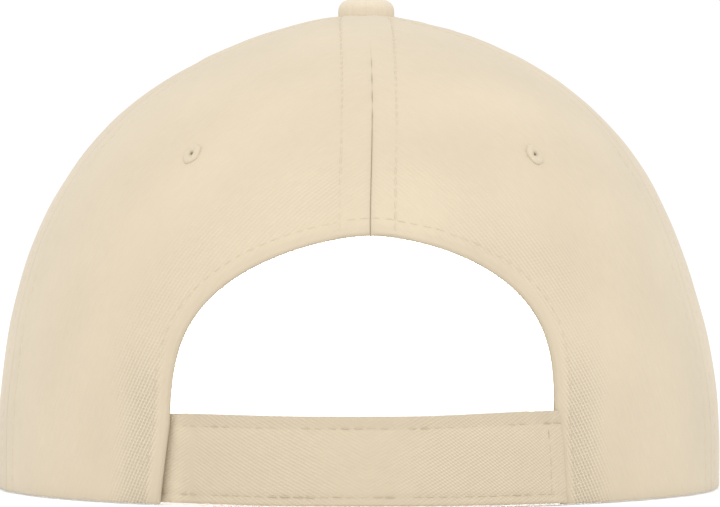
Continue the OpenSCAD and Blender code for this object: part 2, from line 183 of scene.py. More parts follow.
class Line:
    """A curve through points, which gives distances to it and along it."""

    def __init__(self, points):
        self.points = points
        steps = np.linalg.norm(np.diff(points, axis=0), axis=1)
        self.along = np.concatenate([[0.0], np.cumsum(steps)])
        self.length = self.along[-1]

    def near(self, places):
        """Distance to the curve, and where along it, for each place."""
        flat = places.reshape(-1, 3)
        points = self.points
        d2 = (flat**2).sum(1)[:, None] + (points**2).sum(1)[None] - 2.0 * flat @ points.T
        nearest = d2.argmin(1)
        best = np.full(len(flat), np.inf)
        along = np.zeros(len(flat))
        for first in (nearest - 1, nearest):
            a = np.clip(first, 0, len(points) - 2)
            step = points[a + 1] - points[a]
            f = ((flat - points[a]) * step).sum(1) / (step**2).sum(1)
            f = np.clip(f, 0.0, 1.0)
            gap = np.linalg.norm(flat - points[a] - f[:, None] * step, axis=1)
            closer = gap < best
            best = np.where(closer, gap, best)
            along = np.where(closer, mix(self.along[a], self.along[a + 1], f), along)
        return best.reshape(places.shape[:-1]), along.reshape(places.shape[:-1])


class Seam:
    """A seam of the crown: its angle at the hem and at the top, and its line."""

    def __init__(self, low_t, high_t, start_share=0.0):
        self.low_t, self.high_t = low_t, high_t
        turn = np.linspace(0.0, 90.0, 260)
        self.share = mix(start_share, 1.0, sin_deg(turn) ** 0.9)
        self.t = self.angle(self.share)
        self.z = row_height(self.t, self.share)
        self.line = Line(at(self.t, self.z))

    def angle(self, share):
        return mix(self.low_t, self.high_t, share)


SEAMS = {
    "center_back": Seam(BACK_SEAM_T, BACK_SEAM_T, ARCH_TOP_Z / ROW_TOP),
    "side_left": Seam(SIDE_SEAM_T, TOP_STEP_T),
    "side_right": Seam(-SIDE_SEAM_T, -TOP_STEP_T),
    "front_left": Seam(FRONT_SEAM_T, 2 * TOP_STEP_T),
    "front_right": Seam(-FRONT_SEAM_T, -2 * TOP_STEP_T),
}


def arch_steps(count, start=0.0):
    """Values of q that are evenly spaced along the arch's edge."""
    leg = np.linspace(start, 1.0, count // 3)
    return np.concatenate([leg[:-1], 1.0 + np.linspace(0.0, 1.0, count) ** 1.6])


def arch_line(grow=0.0):
    q = arch_steps(240)
    left_t, left_z = arch_point(q, 1, grow)
    right_t, right_z = arch_point(q[::-1], -1, grow)
    return np.concatenate([left_t, right_t[1:]]), np.concatenate([left_z, right_z[1:]])


ARCH = Line(at(*arch_line()))

EYELET_SHARE = 0.695
EYELETS = {
    "back_left": 0.5 * (BACK_SEAM_T + TOP_STEP_T),
    "back_right": 0.5 * (BACK_SEAM_T - TOP_STEP_T),
    "side_left": 1.5 * TOP_STEP_T,
    "side_right": -1.5 * TOP_STEP_T,
}

# Shallow creases that run from the back eyelets towards the top, as ends in (angle, share).
CREASES = [
    ((33.5, 0.715), (22.0, 0.82)),
    ((-33.5, 0.715), (-25.0, 0.81)),
]


# ---- how the cloth lies on that surface ----

SEAM_ALLOWANCE = 6.0    # from a seam to the topstitching on each side of it
BACK_ALLOWANCES = (7.0, 5.6)    # the same at the centre back, on its left and right
ARCH_STITCH = 3.7       # from the arch's edge to its topstitching
RAISE = 0.2             # how far a seam allowance lifts the cloth
STITCH_DIP = 0.11
SEAM_ROLL = 0.5         # radius with which a panel turns into a seam
DRAPE = 0.3             # how high the panels' slow waves are
FAINT_DIP = 0.3 * STITCH_DIP    # of the rows whose thread hardly shows
CREASE_DEPTH, CREASE_W = 0.34, 3.4
EYELET_SINK, EYELET_SINK_R = 0.16, 3.6
CLOSING_Z, CLOSED_Z = (83.0, 90.0), (99.0, 107.0)   # where the centre seam's groove narrows, ends
CLOSING_STEP = 1.65     # how long the small steps are in which it narrows


class Waves:
    """Smooth noise: sines in fixed random directions, wavelengths from low to high."""

    def __init__(self, count, low, high, dims=3):
        direction = unit(rng.normal(size=(count, dims)))
        self.length = rng.uniform(low, high, count)
        self.vector = 2.0 * np.pi * direction / self.length[:, None]
        self.phase = rng.uniform(0.0, 2.0 * np.pi, count)

    def __call__(self, places):
        value = np.sin(places @ self.vector.T + self.phase)
        return value.sum(-1) / math.sqrt(len(self.phase))


drape = Waves(9, 42.0, 95.0)
patches = Waves(8, 22.0, 60.0)
ripple = Waves(7, 9.0, 20.0)
puckers = {name: Waves(4, 5.5, 12.0, dims=1) for name in (*SEAMS, "arch", "strap", "band")}


def turn_in(s, radius):
    """How far a rounded edge has dropped at distance s from it."""
    c = np.clip(radius - s, 0.0, radius)
    return radius - np.sqrt(radius**2 - c**2)


def from_ends(line):
    """How far each value of a rising line is from the nearer end."""
    return np.minimum(line - line[0], line[-1] - line)


def bell(s, center, width):
    return np.exp(-(((s - center) / width) ** 2))


def allowance(name, t):
    """Distance from a seam to its topstitching, on the side where t is."""
    if name != "center_back":
        return SEAM_ALLOWANCE
    return np.where(t > BACK_SEAM_T, *BACK_ALLOWANCES)


def seam_openness(name, z, along):
    """How open a seam's groove is: the back one closes up in small steps near the top."""
    if name != "center_back":
        return 0.45
    steps = 0.5 + 0.45 * np.sin(2.0 * np.pi * along / CLOSING_STEP)
    steps = smoothstep(*CLOSING_Z, z) * steps
    return (1.0 - smoothstep(*CLOSED_Z, z)) * (1.0 - steps)


def crown_relief(t, z):
    """How far the outer face stands out from the CAD surface, and how close a seam is:
    1 on a seam allowance and 0 away from it."""
    places = at(t, z)
    raised = np.zeros(t.shape)
    out = DRAPE * drape(places) + 0.045 * ripple(places)
    for name, seam in SEAMS.items():
        s, along = seam.line.near(places)
        wave = puckers[name](along[..., None])
        beyond = s - allowance(name, t)
        raised = np.maximum(raised, 1.0 - smoothstep(-0.9, 0.5, beyond))
        dip = STITCH_DIP if name == "center_back" else FAINT_DIP
        out -= dip * bell(beyond, 0.0, 0.55)
        out += 0.075 * wave * bell(beyond, 1.0, 4.2)
        out -= turn_in(s, SEAM_ROLL) * seam_openness(name, z, along)
    s, along = ARCH.near(places)
    wave = puckers["arch"](along[..., None])
    arch_band = 1.0 - smoothstep(ARCH_STITCH - 0.6, ARCH_STITCH + 0.4, s)
    out += 0.05 * arch_band + 0.12 * wave * bell(s, ARCH_STITCH + 0.6, 2.6)
    out -= FAINT_DIP * bell(s, ARCH_STITCH, 0.5)
    for (t0, share0), (t1, share1) in CREASES:
        f = np.linspace(0.0, 1.0, 30)
        crease = Line(at(mix(t0, t1, f), CROWN_H * mix(share0, share1, f)))
        s, along = crease.near(places)
        share = along / crease.length
        fade = smoothstep(-0.15, 0.3, share) * (1.0 - smoothstep(0.55, 1.1, share))
        out -= CREASE_DEPTH * fade * bell(s, 0.0, CREASE_W)
        out += 0.4 * CREASE_DEPTH * fade * bell(s, 6.5, 3.0)
    for eyelet_t in EYELETS.values():
        centre = at(np.array(eyelet_t), np.array(EYELET_SHARE * CROWN_H))
        gap = np.linalg.norm(places - centre, axis=-1)
        out -= EYELET_SINK * bell(gap, 0.0, EYELET_SINK_R)
    out += RAISE * raised
    return out, np.maximum(raised, arch_band)


def spaced(length, first, step, growth=1.3, both=True):
    """Distances from 0 to length that start fine at one end, or at both."""
    gaps = [first]
    while gaps[-1] * growth < step:
        gaps.append(gaps[-1] * growth)
    ends = np.cumsum([0.0, *gaps])
    tail = (length - ends[::-1]) if both else np.array([length])
    room = tail[0] - ends[-1]
    middle = np.linspace(ends[-1], tail[0], max(2, int(round(room / step)) + 1))
    return np.concatenate([ends, middle[1:-1], tail])


# A line up the crown, to turn heights into distances along the cloth and back.
MERIDIAN_Z = ROW_TOP * sin_deg(np.linspace(0.0, 90.0, 2000)) ** 0.9
MERIDIAN = Line(at(np.full(2000, 60.0), MERIDIAN_Z))

TWILL_SLOPE = 58.0      # of the twill's diagonals to the hem, in degrees
TWILL_COARSE = 1.3      # how much wider the panels' ridges are than the strap's


def straight(u, v, strength=1.0):
    """Cloth coordinates: across the weave's ridges, along them, and how strongly they show."""
    return np.stack(np.broadcast_arrays(u, v, strength), -1)


def diagonal(u, v, strength=1.0):
    return straight((u + v) / math.sqrt(2), (v - u) / math.sqrt(2), strength)


def weave_on_panel(t, z, grain_t, mirrored, strength):
    """Cloth coordinates of a panel whose grain runs up its middle, at grain_t. They follow a
    ball of the crown's size, and ease keeps them even towards the panel's sides."""
    around = np.radians(t - grain_t)
    up = 0.5 * np.pi * np.interp(z, MERIDIAN_Z, MERIDIAN.along) / MERIDIAN.length
    up = np.minimum(up, 0.499 * np.pi)
    ball_r, ease = 100.0, 0.75
    u = ball_r / ease * np.arcsin(np.cos(up) * np.sin(ease * around)) * (-1 if mirrored else 1)
    v = ball_r * np.arctan2(np.tan(up), np.cos(ease * around))
    rise, run = sin_deg(TWILL_SLOPE) / TWILL_COARSE, cos_deg(TWILL_SLOPE) / TWILL_COARSE
    return straight(rise * u + run * v, rise * v - run * u, strength)


# ---- meshes ----


def make_mesh(name, points, faces, material, weave=None, sharp_angle=None, painted_shade_and_tone=None):
    """A smooth-shaded object from points in millimetres and lists of faces."""
    mesh = bpy.data.meshes.new(name)
    mesh.from_pydata((np.asarray(points) * MM).tolist(), [], faces)
    mesh.update()
    for key, kind, field, values in (("weave", "FLOAT_VECTOR", "vector", weave),
                                     ("painted_shade_and_tone", "FLOAT", "value", painted_shade_and_tone)):
        if values is not None:
            layer = mesh.attributes.new(key, kind, "POINT")
            layer.data.foreach_set(field, np.asarray(values, np.float32).ravel())
    mesh.shade_smooth()
    if sharp_angle is not None:
        mesh.set_sharp_from_angle(angle=math.radians(sharp_angle))
    mesh.materials.append(MATERIALS[material])
    obj = bpy.data.objects.new(name, mesh)
    bpy.context.scene.collection.objects.link(obj)
    return obj


def face_outward(obj):
    solid = bmesh.new()
    solid.from_mesh(obj.data)
    if solid.calc_volume(signed=True) < 0:
        obj.data.flip_normals()
    solid.free()
    return obj


def hole_ring(i, j):
    """The eight grid points around point (i, j), in order."""
    steps = ((-1, -1), (-1, 0), (-1, 1), (0, 1), (1, 1), (1, 0), (1, -1), (0, -1))
    return [(i + a, j + b) for a, b in steps]


def shell(name, outer, inner, material, weave, hole=None, sharp_angle=None, painted_shade_and_tone=None):
    """A closed shell between two grids of points. hole is the row and column of a grid
    point around which the eight nearest points bound a hole."""
    rows, cols = outer.shape[:2]
    n = rows * cols
    ids = np.arange(n).reshape(rows, cols)
    quads = np.stack([ids[:-1, :-1], ids[1:, :-1], ids[1:, 1:], ids[:-1, 1:]], -1)
    solid, keep = np.ones(quads.shape[:2], bool), np.ones(n, bool)
    rims = [np.concatenate([ids[0], ids[1:, -1], ids[-1, -2::-1], ids[-2:0:-1, 0]])]
    if hole is not None:
        i, j = hole
        solid[i - 1:i + 1, j - 1:j + 1] = keep[ids[i, j]] = False
        rims.append(np.array([ids[place] for place in hole_ring(i, j)]))
    quads, keep = quads[solid], np.tile(keep, 2)
    walls = [np.stack([rim, np.roll(rim, -1), np.roll(rim, -1) + n, rim + n], -1) for rim in rims]
    faces = np.concatenate([quads, quads[:, ::-1] + n, *walls])
    faces = (np.cumsum(keep) - 1)[faces].tolist()
    points = np.concatenate([outer, inner]).reshape(-1, 3)[keep]
    weave = np.tile(weave.reshape(-1, 3), (2, 1))[keep]
    if painted_shade_and_tone is not None:
        painted_shade_and_tone = np.tile(painted_shade_and_tone.ravel(), 2)[keep]
    return face_outward(make_mesh(name, points, faces, material, weave, sharp_angle, painted_shade_and_tone))


def piece(obj, slot, *nodes, body="crown"):
    """Has an object ride on a body, in place of CAD nodes. slot, the name of their finish, is not used."""
    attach(obj, body)
    if nodes:
        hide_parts(*nodes)
    return obj


def tubes(paths, ups, radii, sides=8, lobes=0.0, turns=0.0):
    """Points and faces of closed tubes, one for each row of paths. lobes and turns make
    them look like twisted thread."""
    count, rings = paths.shape[:2]
    tangent = unit(np.gradient(paths, axis=1))
    side = unit(np.cross(tangent, ups))
    up = np.cross(side, tangent)
    around = 2.0 * np.pi * np.arange(sides) / sides
    spin = 2.0 * np.pi * turns * np.linspace(0.0, 1.0, rings)
    bulge = 1.0 + lobes * np.cos(2.0 * (around[None, :] - spin[:, None]))
    r = (np.broadcast_to(radii, (count, rings))[..., None] * bulge)[..., None]
    ring = side[:, :, None] * np.cos(around)[:, None] + up[:, :, None] * np.sin(around)[:, None]
    points = paths[:, :, None] + r * ring
    ids = np.arange(count * rings * sides).reshape(count, rings, sides)
    a, b = ids[:, :-1], np.roll(ids, -1, 2)[:, :-1]
    faces = np.stack([a, b, b + sides, a + sides], -1).reshape(-1, 4).tolist()
    return points.reshape(-1, 3), faces + ids[:, 0, ::-1].tolist() + ids[:, -1].tolist()


def stitch_paths(points, normals, pitch, length=2.55, sink=0.24, lift=0.07):
    """Paths of the stitches of one row, which dip into the cloth at both ends."""
    line = Line(points)
    begins = np.arange(0.0, line.length - length, pitch)
    begins = begins + rng.uniform(-0.05, 0.05, len(begins)) * pitch
    u = np.linspace(0.0, 1.0, 8)
    where = begins[:, None] + u[None] * length * rng.uniform(0.95, 1.05, (len(begins), 1))
    place = np.stack([np.interp(where, line.along, points[:, k]) for k in range(3)], -1)
    up = unit(np.stack([np.interp(where, line.along, normals[:, k]) for k in range(3)], -1))
    arc = np.sin(np.pi * u)
    height = lift * arc**0.5 - sink * (1.0 - arc) ** 5
    across = unit(np.cross(np.gradient(place, axis=1), up))
    slant = rng.uniform(-0.05, 0.05, (len(begins), 1)) + 0.08 * (u[None] - 0.5)
    return place + up * height[None, :, None] + across * slant[..., None], up


def sew(name, rows, material, radius=0.16, pitch=3.0, body="crown"):
    """One object of every stitch of some rows, each row given as points and normals."""
    paths, ups = zip(*(stitch_paths(p, n, pitch) for p, n in rows))
    paths, ups = np.concatenate(paths), np.concatenate(ups)
    u = np.linspace(0.0, 1.0, paths.shape[1])
    radii = radius * (0.75 + 0.25 * np.sin(np.pi * u) ** 0.5)
    points, faces = tubes(paths, ups, radii, lobes=0.13, turns=1.6)
    obj = make_mesh(name, points, faces, material)
    if body is not None:
        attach(obj, body)
    return obj


# ---- materials ----


def fill(sockets, values):
    for key, value in values.items():
        sockets[key].default_value = value


class Graph:
    """A material with a Principled shader, and short calls that add its nodes."""

    def __init__(self, name, sheen, metallic=0.0):
        self.material = bpy.data.materials.new(name)
        self.material.use_nodes = True
        self.nodes = self.material.node_tree.nodes
        self.shader = self.nodes["Principled BSDF"].inputs
        fill(self.shader, {"Sheen Weight": sheen, "Sheen Roughness": 0.5, "Metallic": metallic,
                           "Specular IOR Level": 0.5 if metallic else 0.2})

    def put(self, socket, value):
        if isinstance(value, bpy.types.NodeSocket):
            self.material.node_tree.links.new(value, socket)
        else:
            socket.default_value = value

    def make(self, kind, *values):
        """A new node whose first inputs are given values or links."""
        made = self.nodes.new("ShaderNode" + kind)
        for socket, value in zip(made.inputs, values):
            self.put(socket, value)
        return made

    def math(self, operation, a, b=0.0):
        made = self.make("Math", a, b)
        made.operation = operation
        return made.outputs[0]

    def add(self, *values):
        total = values[0]
        for value in values[1:]:
            total = self.math("ADD", total, value)
        return total

    def times(self, a, b):
        return self.math("MULTIPLY", a, b)

    def parts(self, *terms):
        """A sum of values, each times its share."""
        return self.add(*[self.times(value, share) for value, share in terms])

    def swings(self, *terms):
        """The same of values that run from 0 to 1, counted from their middle."""
        return self.parts(*[(self.add(value, -0.5), share) for value, share in terms])

    def wave(self, phase):
        """A sine of phase, in turns, from 0 to 1."""
        turned = self.math("SINE", self.times(phase, 2.0 * math.pi))
        return self.add(self.times(turned, 0.5), 0.5)

    def split(self, vector):
        return self.make("SeparateXYZ", vector).outputs[:]

    def join(self, *values):
        return self.make("CombineXYZ", *values).outputs[0]

    def attribute(self, name, output):
        made = self.make("Attribute")
        made.attribute_name = name
        return made.outputs[output]

    def noise(self, vector, scale, detail=2.0, roughness=0.5):
        made = self.make("TexNoise", vector)
        fill(made.inputs, {"Scale": scale, "Detail": detail, "Roughness": roughness})
        return made.outputs["Fac"]

    def finish(self, factor, colour, dark, light, gloss, low, high, height, relief):
        """Colour from dark to light tones, roughness from low to high, and relief in mm."""
        tint = self.nodes.new("ShaderNodeMix")
        tint.data_type = "RGBA"
        self.put(tint.inputs["Factor"], factor)
        fill(tint.inputs, {"A": (*(dark * c for c in colour), 1.0),
                           "B": (*(light * c for c in colour), 1.0)})
        rough = self.make("MapRange", gloss)
        fill(rough.inputs, {"To Min": low, "To Max": high})
        bump = self.nodes.new("ShaderNodeBump")
        fill(bump.inputs, {"Strength": 1.0, "Distance": relief * MM})
        self.put(bump.inputs["Height"], height)
        for key, output in (("Base Color", tint.outputs["Result"]), ("Roughness", rough.outputs[0]),
                            ("Normal", bump.outputs["Normal"])):
            self.put(self.shader[key], output)
        return self.material


def twill(name, colour, pitch=0.75, contrast=0.05, relief=0.09):
    """Cotton twill: diagonal ridges cut into short yarns, slubs and soft mottling."""
    g = Graph(name, sheen=0.22)
    weave = g.attribute("weave", "Vector")
    across, along, strength = g.split(weave)
    ridge = g.wave(g.times(across, 1.0 / pitch))
    yarn = g.wave(g.parts((along, 1.0 / 0.62), (across, 0.5 / pitch)))
    slub = g.noise(g.join(g.times(across, 1.6), g.times(along, 0.35)), 1.0, 3.0)
    fibre = g.noise(weave, 5.0, 2.0)
    mottle = g.noise(g.join(across, along), 0.045, 3.0, 0.6)
    # The ridge term darkens the valleys between ridges as painted shade.
    shade = g.swings((ridge, g.times(strength, 4.0 * contrast)),
                     (yarn, g.times(strength, 1.4 * contrast)),
                     (slub, 0.30), (fibre, 0.16), (mottle, 0.35))
    # The attribute paints shade into the cloth's colour, and light where it is negative; the strength term
    # is a painted lift that offsets the shading of the ridges' relief.
    painted_shade_and_tone = g.times(g.attribute("painted_shade_and_tone", "Fac"), -0.5)
    shade = g.add(shade, painted_shade_and_tone, g.times(strength, 0.035), 0.5)
    height = g.parts((g.times(ridge, strength), 0.62), (g.times(yarn, strength), 0.22),
                     (fibre, 0.25), (slub, 0.12))
    return g.finish(shade, colour, 0.86, 1.14, fibre, 0.86, 0.98, height, relief)


def plain_weave(name, colour, pitch=0.42, contrast=0.24, relief=0.07):
    """A plain or gauze weave of crossing yarns."""
    g = Graph(name, sheen=0.15)
    weave = g.attribute("weave", "Vector")
    across, along, _ = g.split(weave)
    warp = g.wave(g.times(g.add(across, along), 0.707 / pitch))
    weft = g.wave(g.times(g.math("SUBTRACT", across, along), 0.707 / pitch))
    cross = g.math("MAXIMUM", warp, weft)
    fibre = g.noise(weave, 4.0, 3.0)
    mottle = g.noise(weave, 0.09, 2.0)
    shade = g.add(g.swings((cross, contrast), (fibre, 0.2), (mottle, 0.3)), 0.5)
    height = g.parts((cross, 0.7), (fibre, 0.3))
    return g.finish(shade, colour, 0.88, 1.08, fibre, 0.82, 0.96, height, relief)


def grained(name, colour, dark, light, low, high, relief, grain, stain=None, share=1.0, sheen=0.0,
            metallic=0.0, stretch=None):
    """A material without a weave: fine grain, and larger stains that take a share of its tone.
    Both are given as a scale and its detail."""
    g = Graph(name, sheen, metallic)
    place = g.nodes.new("ShaderNodeTexCoord").outputs["Object"]
    along = g.join(*[g.times(c, k) for c, k in zip(g.split(place), stretch)]) if stretch else place
    fine = g.noise(along, *grain)
    factor = g.noise(place, *stain) if stain else fine
    if share < 1.0:
        factor = g.parts((fine, 1.0 - share), (factor, share))
    return g.finish(factor, colour, dark, light, fine, low, high, fine, relief)


def thread(name, colour):
    return grained(name, colour, 0.9, 1.08, 0.5, 0.72, 0.04, (1900.0, 2.0), (60.0, 2.0), 0.5, 0.2)


def nylon(name, colour, rough):
    return grained(name, colour, 0.85, 1.12, rough - 0.08, rough + 0.1, 0.05, (900.0, 3.0), sheen=0.1)


BEIGE = (0.590, 0.503, 0.370)
WHITE_COTTON = (0.73, 0.72, 0.70)
MATERIALS = {
    "twill": twill("cotton_twill", BEIGE),
    "button": twill("button_twill", (0.665, 0.58, 0.45), contrast=0.02, relief=0.05),
    "strap": twill("strap_twill", (0.556, 0.472, 0.346), contrast=0.07, relief=0.11),
    "tape": plain_weave("woven_tape", WHITE_COTTON),
    "band": twill("sweatband_cotton", WHITE_COTTON, pitch=0.5, contrast=0.03, relief=0.06),
    "gauze": plain_weave("stiffener_gauze", (0.72, 0.72, 0.71), pitch=1.0, contrast=0.49, relief=0.2),
    "fleece": grained("padding_fleece", (0.70, 0.70, 0.69), 0.86, 1.08, 0.9, 1.0, 0.25,
                      (700.0, 5.0, 0.7), sheen=0.4),
    "thread": thread("topstitch_thread", (0.585, 0.505, 0.380)),
    "strap_thread": thread("strap_thread", (0.50, 0.42, 0.305)),
    "white_thread": thread("lining_thread", (0.73, 0.72, 0.69)),
    "eyelet": thread("eyelet_thread", (0.600, 0.522, 0.395)),
    "hooks": nylon("hook_nylon", (0.51, 0.44, 0.33), 0.42),
    "loops": nylon("loop_nylon", (0.55, 0.48, 0.37), 0.8),
    "metal": grained("stamped_metal", (0.66, 0.65, 0.63), 0.8, 1.15, 0.24, 0.46, 0.01, (1.0, 3.0),
                     (140.0, 4.0), 0.6, metallic=1.0, stretch=(3000.0, 260.0, 260.0)),
    "board": grained("board_plastic", (0.70, 0.70, 0.68), 0.94, 1.04, 0.38, 0.55, 0.02,
                     (1400.0, 2.0), (30.0, 3.0)),
}


# ---- panels ----


def arc_rows(start_z, end_z, first, step):
    """Heights from start_z to end_z, evenly spaced along the crown, finer at the start."""
    start, end = np.interp([start_z, end_z], MERIDIAN_Z, MERIDIAN.along)
    arcs = start + spaced(end - start, first, step, both=False)
    return np.interp(arcs, MERIDIAN.along, MERIDIAN_Z)


def panel(name, t, z, grain_t, mirrored, backing, eyelet_t=None):
    """One twill panel on a grid of angles and heights."""
    hole = None if eyelet_t is None else open_hole(t, z, eyelet_t, EYELET_SHARE * CROWN_H)
    places = at(t, z)
    out, banded = crown_relief(t, z)
    lift = DRAPE * drape(places)
    hem = z - hem_z(t)
    arch_s, _ = ARCH.near(places)
    fold_r = PANEL_T / 2
    fold = np.minimum(fold_r - 0.02, turn_in(hem, fold_r) + turn_in(arch_s, fold_r))
    legs = 1.0 - smoothstep(18.0, 42.0, z)
    near_arch = smoothstep(2.2, 3.6, arch_s)
    near_arch *= 1.0 - smoothstep(10.0 - 3.0 * legs, 25.0 - 7.0 * legs, arch_s)
    bold = 0.8 + 3.5 * legs + 0.5 * patches(places)
    strength = 0.14 + bold * near_arch * (1.0 - 0.6 * banded)
    # Painted shade: darker along the hem's and the arch's rolled edges and in the open seam grooves, where
    # shade falls; the patches term is random mottle.
    painted_shade_and_tone = 0.55 * bell(hem, 0.0, 1.6) + 1.1 * bell(arch_s, 0.0, 0.6) + 0.12 * patches(places)
    painted_shade_and_tone += 0.3 * (1.0 - smoothstep(1.8, 3.0, arch_s))
    for seam_name, seam in SEAMS.items():
        s, along = seam.line.near(places)
        painted_shade_and_tone += 0.35 * bell(s, 0.0, 0.9) * seam_openness(seam_name, z, along)
    weave = weave_on_panel(t, z, grain_t, mirrored, strength)
    outer = at(t, z, np.maximum(out, lift - fold_r - 0.1) - fold)
    inner = at(t, z, lift - PANEL_T + fold)
    obj = piece(shell(name + "_twill", outer, inner, "twill", weave, hole, painted_shade_and_tone=painted_shade_and_tone), "twill", name)


def open_hole(t, z, hole_t, hole_z, radius=1.1):
    """Moves the eight grid points round the one nearest the eyelet onto a small circle."""
    hole_t, hole_z = np.array(hole_t), np.array(hole_z)
    gap = np.linalg.norm(at(t, z) - at(hole_t, hole_z), axis=-1)
    i, j = np.unravel_index(gap.argmin(), gap.shape)
    scale = per_degree(hole_t, hole_z)
    up = np.linalg.norm(at(hole_t, hole_z + 0.5) - at(hole_t, hole_z - 0.5))
    for a, b in hole_ring(i, j):
        around = math.atan2(a - i, b - j)
        t[a, b] = hole_t + radius * math.cos(around) / scale
        z[a, b] = hole_z + radius * math.sin(around) / up
    return i, j


def plain_grid(low, high, cols_mm):
    """Angles and heights of a panel between two seams that both reach the hem."""
    share = arc_rows(0.0, ROW_TOP, 0.1, 1.3) / ROW_TOP
    f = spaced(cols_mm, 0.1, 1.35) / cols_mm
    t = mix(low(share)[:, None], high(share)[:, None], f[None, :])
    return t, row_height(t, share[:, None])


def back_grid(side):
    """Angles and heights of a back panel, which the arch cuts into."""
    legs = (spaced(ARCH_BASE_Z, 0.1, 1.3, both=False) / ARCH_BASE_Z)[:-1]
    q = np.concatenate([legs, 1.0 + np.linspace(0.0, 1.0, 61) ** 1.6])
    arch_t, arch_z = arch_point(q, side)
    upper = arc_rows(ARCH_TOP_Z, ROW_TOP, 0.12, 1.3)[1:]
    even = np.concatenate([legs * ARCH_BASE_Z, np.linspace(ARCH_BASE_Z, ARCH_TOP_Z, 61)])
    f = spaced(86.0, 0.1, 1.3) / 86.0
    low_z = mix(arch_z[:, None], even[:, None], smoothstep(0.02, 0.5, f)[None, :])
    z = np.concatenate([low_z, np.repeat(upper[:, None], len(f), 1)])
    inner_t = np.concatenate([arch_t, np.full(len(upper), BACK_SEAM_T)])
    outer_t = side * mix(SIDE_SEAM_T, TOP_STEP_T, z / ROW_TOP)
    t = mix(inner_t[:, None], outer_t, f[None, :])
    return (t, z) if side > 0 else (t[:, ::-1], z[:, ::-1])


def make_panels():
    """The five panels. Each one's cloth lies over the stiffener or over its seam tapes."""
    t, z = plain_grid(SEAMS["front_left"].angle, lambda s: 360.0 + SEAMS["front_right"].angle(s), 165.0)
    panel("front_panel", t, z, 180.0, False, ["front_stiffener"])
    for side, name in ((1, "left"), (-1, "right")):
        seams = [SEAMS["side_" + name].angle, SEAMS["front_" + name].angle]
        t, z = plain_grid(*seams[::side], 92.0)
        panel("side_panel_" + name, t, z, side * 108.0, side < 0,
              ["side_seam_tape_" + name, "front_seam_tape_" + name], EYELETS["side_" + name])
    for side, name in ((1, "left"), (-1, "right")):
        panel("back_panel_" + name, *back_grid(side), side * 36.0, side < 0,
              ["center_back_tape", "side_seam_tape_" + name], EYELETS["back_" + name])


# ---- topstitching on the crown ----


def on_cloth(t, z, above=0.0):
    """Points of the outer cloth and their normals."""
    out, _ = crown_relief(t, z)
    return at(t, z, out + above), skin_normal(t, z / CROWN_H)


def beside_seam(seam, side, offset, stop_r=8.2):
    """Angles and heights of a line beside a seam, up to the button's edge."""
    t = seam.t + side * offset / np.maximum(per_degree(seam.t, seam.z), 0.02)
    place = at(seam.t, seam.z)
    keep = np.hypot(place[:, 0] - TOP_LEAN, place[:, 1]) > stop_r
    return t[keep], seam.z[keep]


def make_topstitching():
    """Two rows along each seam, clear of the hem and the arch, and one round the arch."""
    for name, seam in SEAMS.items():
        in_back = name == "center_back"
        rows = []
        for side in (-1, 1):
            gap = float(allowance(name, seam.low_t + side))
            points, normals = on_cloth(*beside_seam(seam, side, gap), 0.0 if in_back else -0.1)
            keep = points[:, 2] > 1.5
            if in_back:
                keep &= ARCH.near(points)[0] > 1.0
            rows.append((points[keep], normals[keep]))
        sew("topstitch_" + name, rows, "thread", 0.16 if in_back else 0.12)
    arch_row = on_cloth(*arch_line(ARCH_STITCH), -0.07)
    sew("topstitch_arch", [arch_row], "thread", 0.12)


# ---- inside layers ----


def lining(node, kind, t, z, outer_d, inner_d, material, slot, weave, under=(), rows=(),
           radius=0.16, lengthwise=False):
    """A closed strip of the crown between two offsets of one grid, sewn along rows of points and normals;
    under names the pieces it lies under. lengthwise says that the grid's columns run along it."""
    obj = shell(node + "_" + kind, at(t, z, outer_d), at(t, z, inner_d), material, weave)
    piece(obj, slot, node)
    stitches = [sew(node + "_stitches", rows, "white_thread", radius)] if rows else []
    if under:
        middle = at(t, z, (outer_d + inner_d) / 2)
        middle.swapaxes(0, 1) if lengthwise else middle
    return obj


def inner_row(t, z, d):
    """Points and normals of a row of stitches on an inner face."""
    return at(t, z, d + 0 * t), -skin_normal(t, z / CROWN_H)


TAPE_HALF_W, TAPE_STITCH = 7.0, 5.6
TAPE_ROW_D = TAPE_IN - 0.02
TAPES = {
    "center_back": ("center_back_tape", ["back_panel_left", "back_panel_right"]),
    "side_left": ("side_seam_tape_left", ["side_panel_left", "back_panel_left"]),
    "side_right": ("side_seam_tape_right", ["side_panel_right", "back_panel_right"]),
    "front_left": ("front_seam_tape_left", ["front_panel", "side_panel_left"]),
    "front_right": ("front_seam_tape_right", ["front_panel", "side_panel_right"]),
}


def tape_hump(f):
    """A seam tape's inner face: folded edges, and a hump over the seam allowances."""
    return 0.34 * (1.0 - smoothstep(0.25, 0.8, f)) + 0.12 * bell(f, 0.9, 0.12)


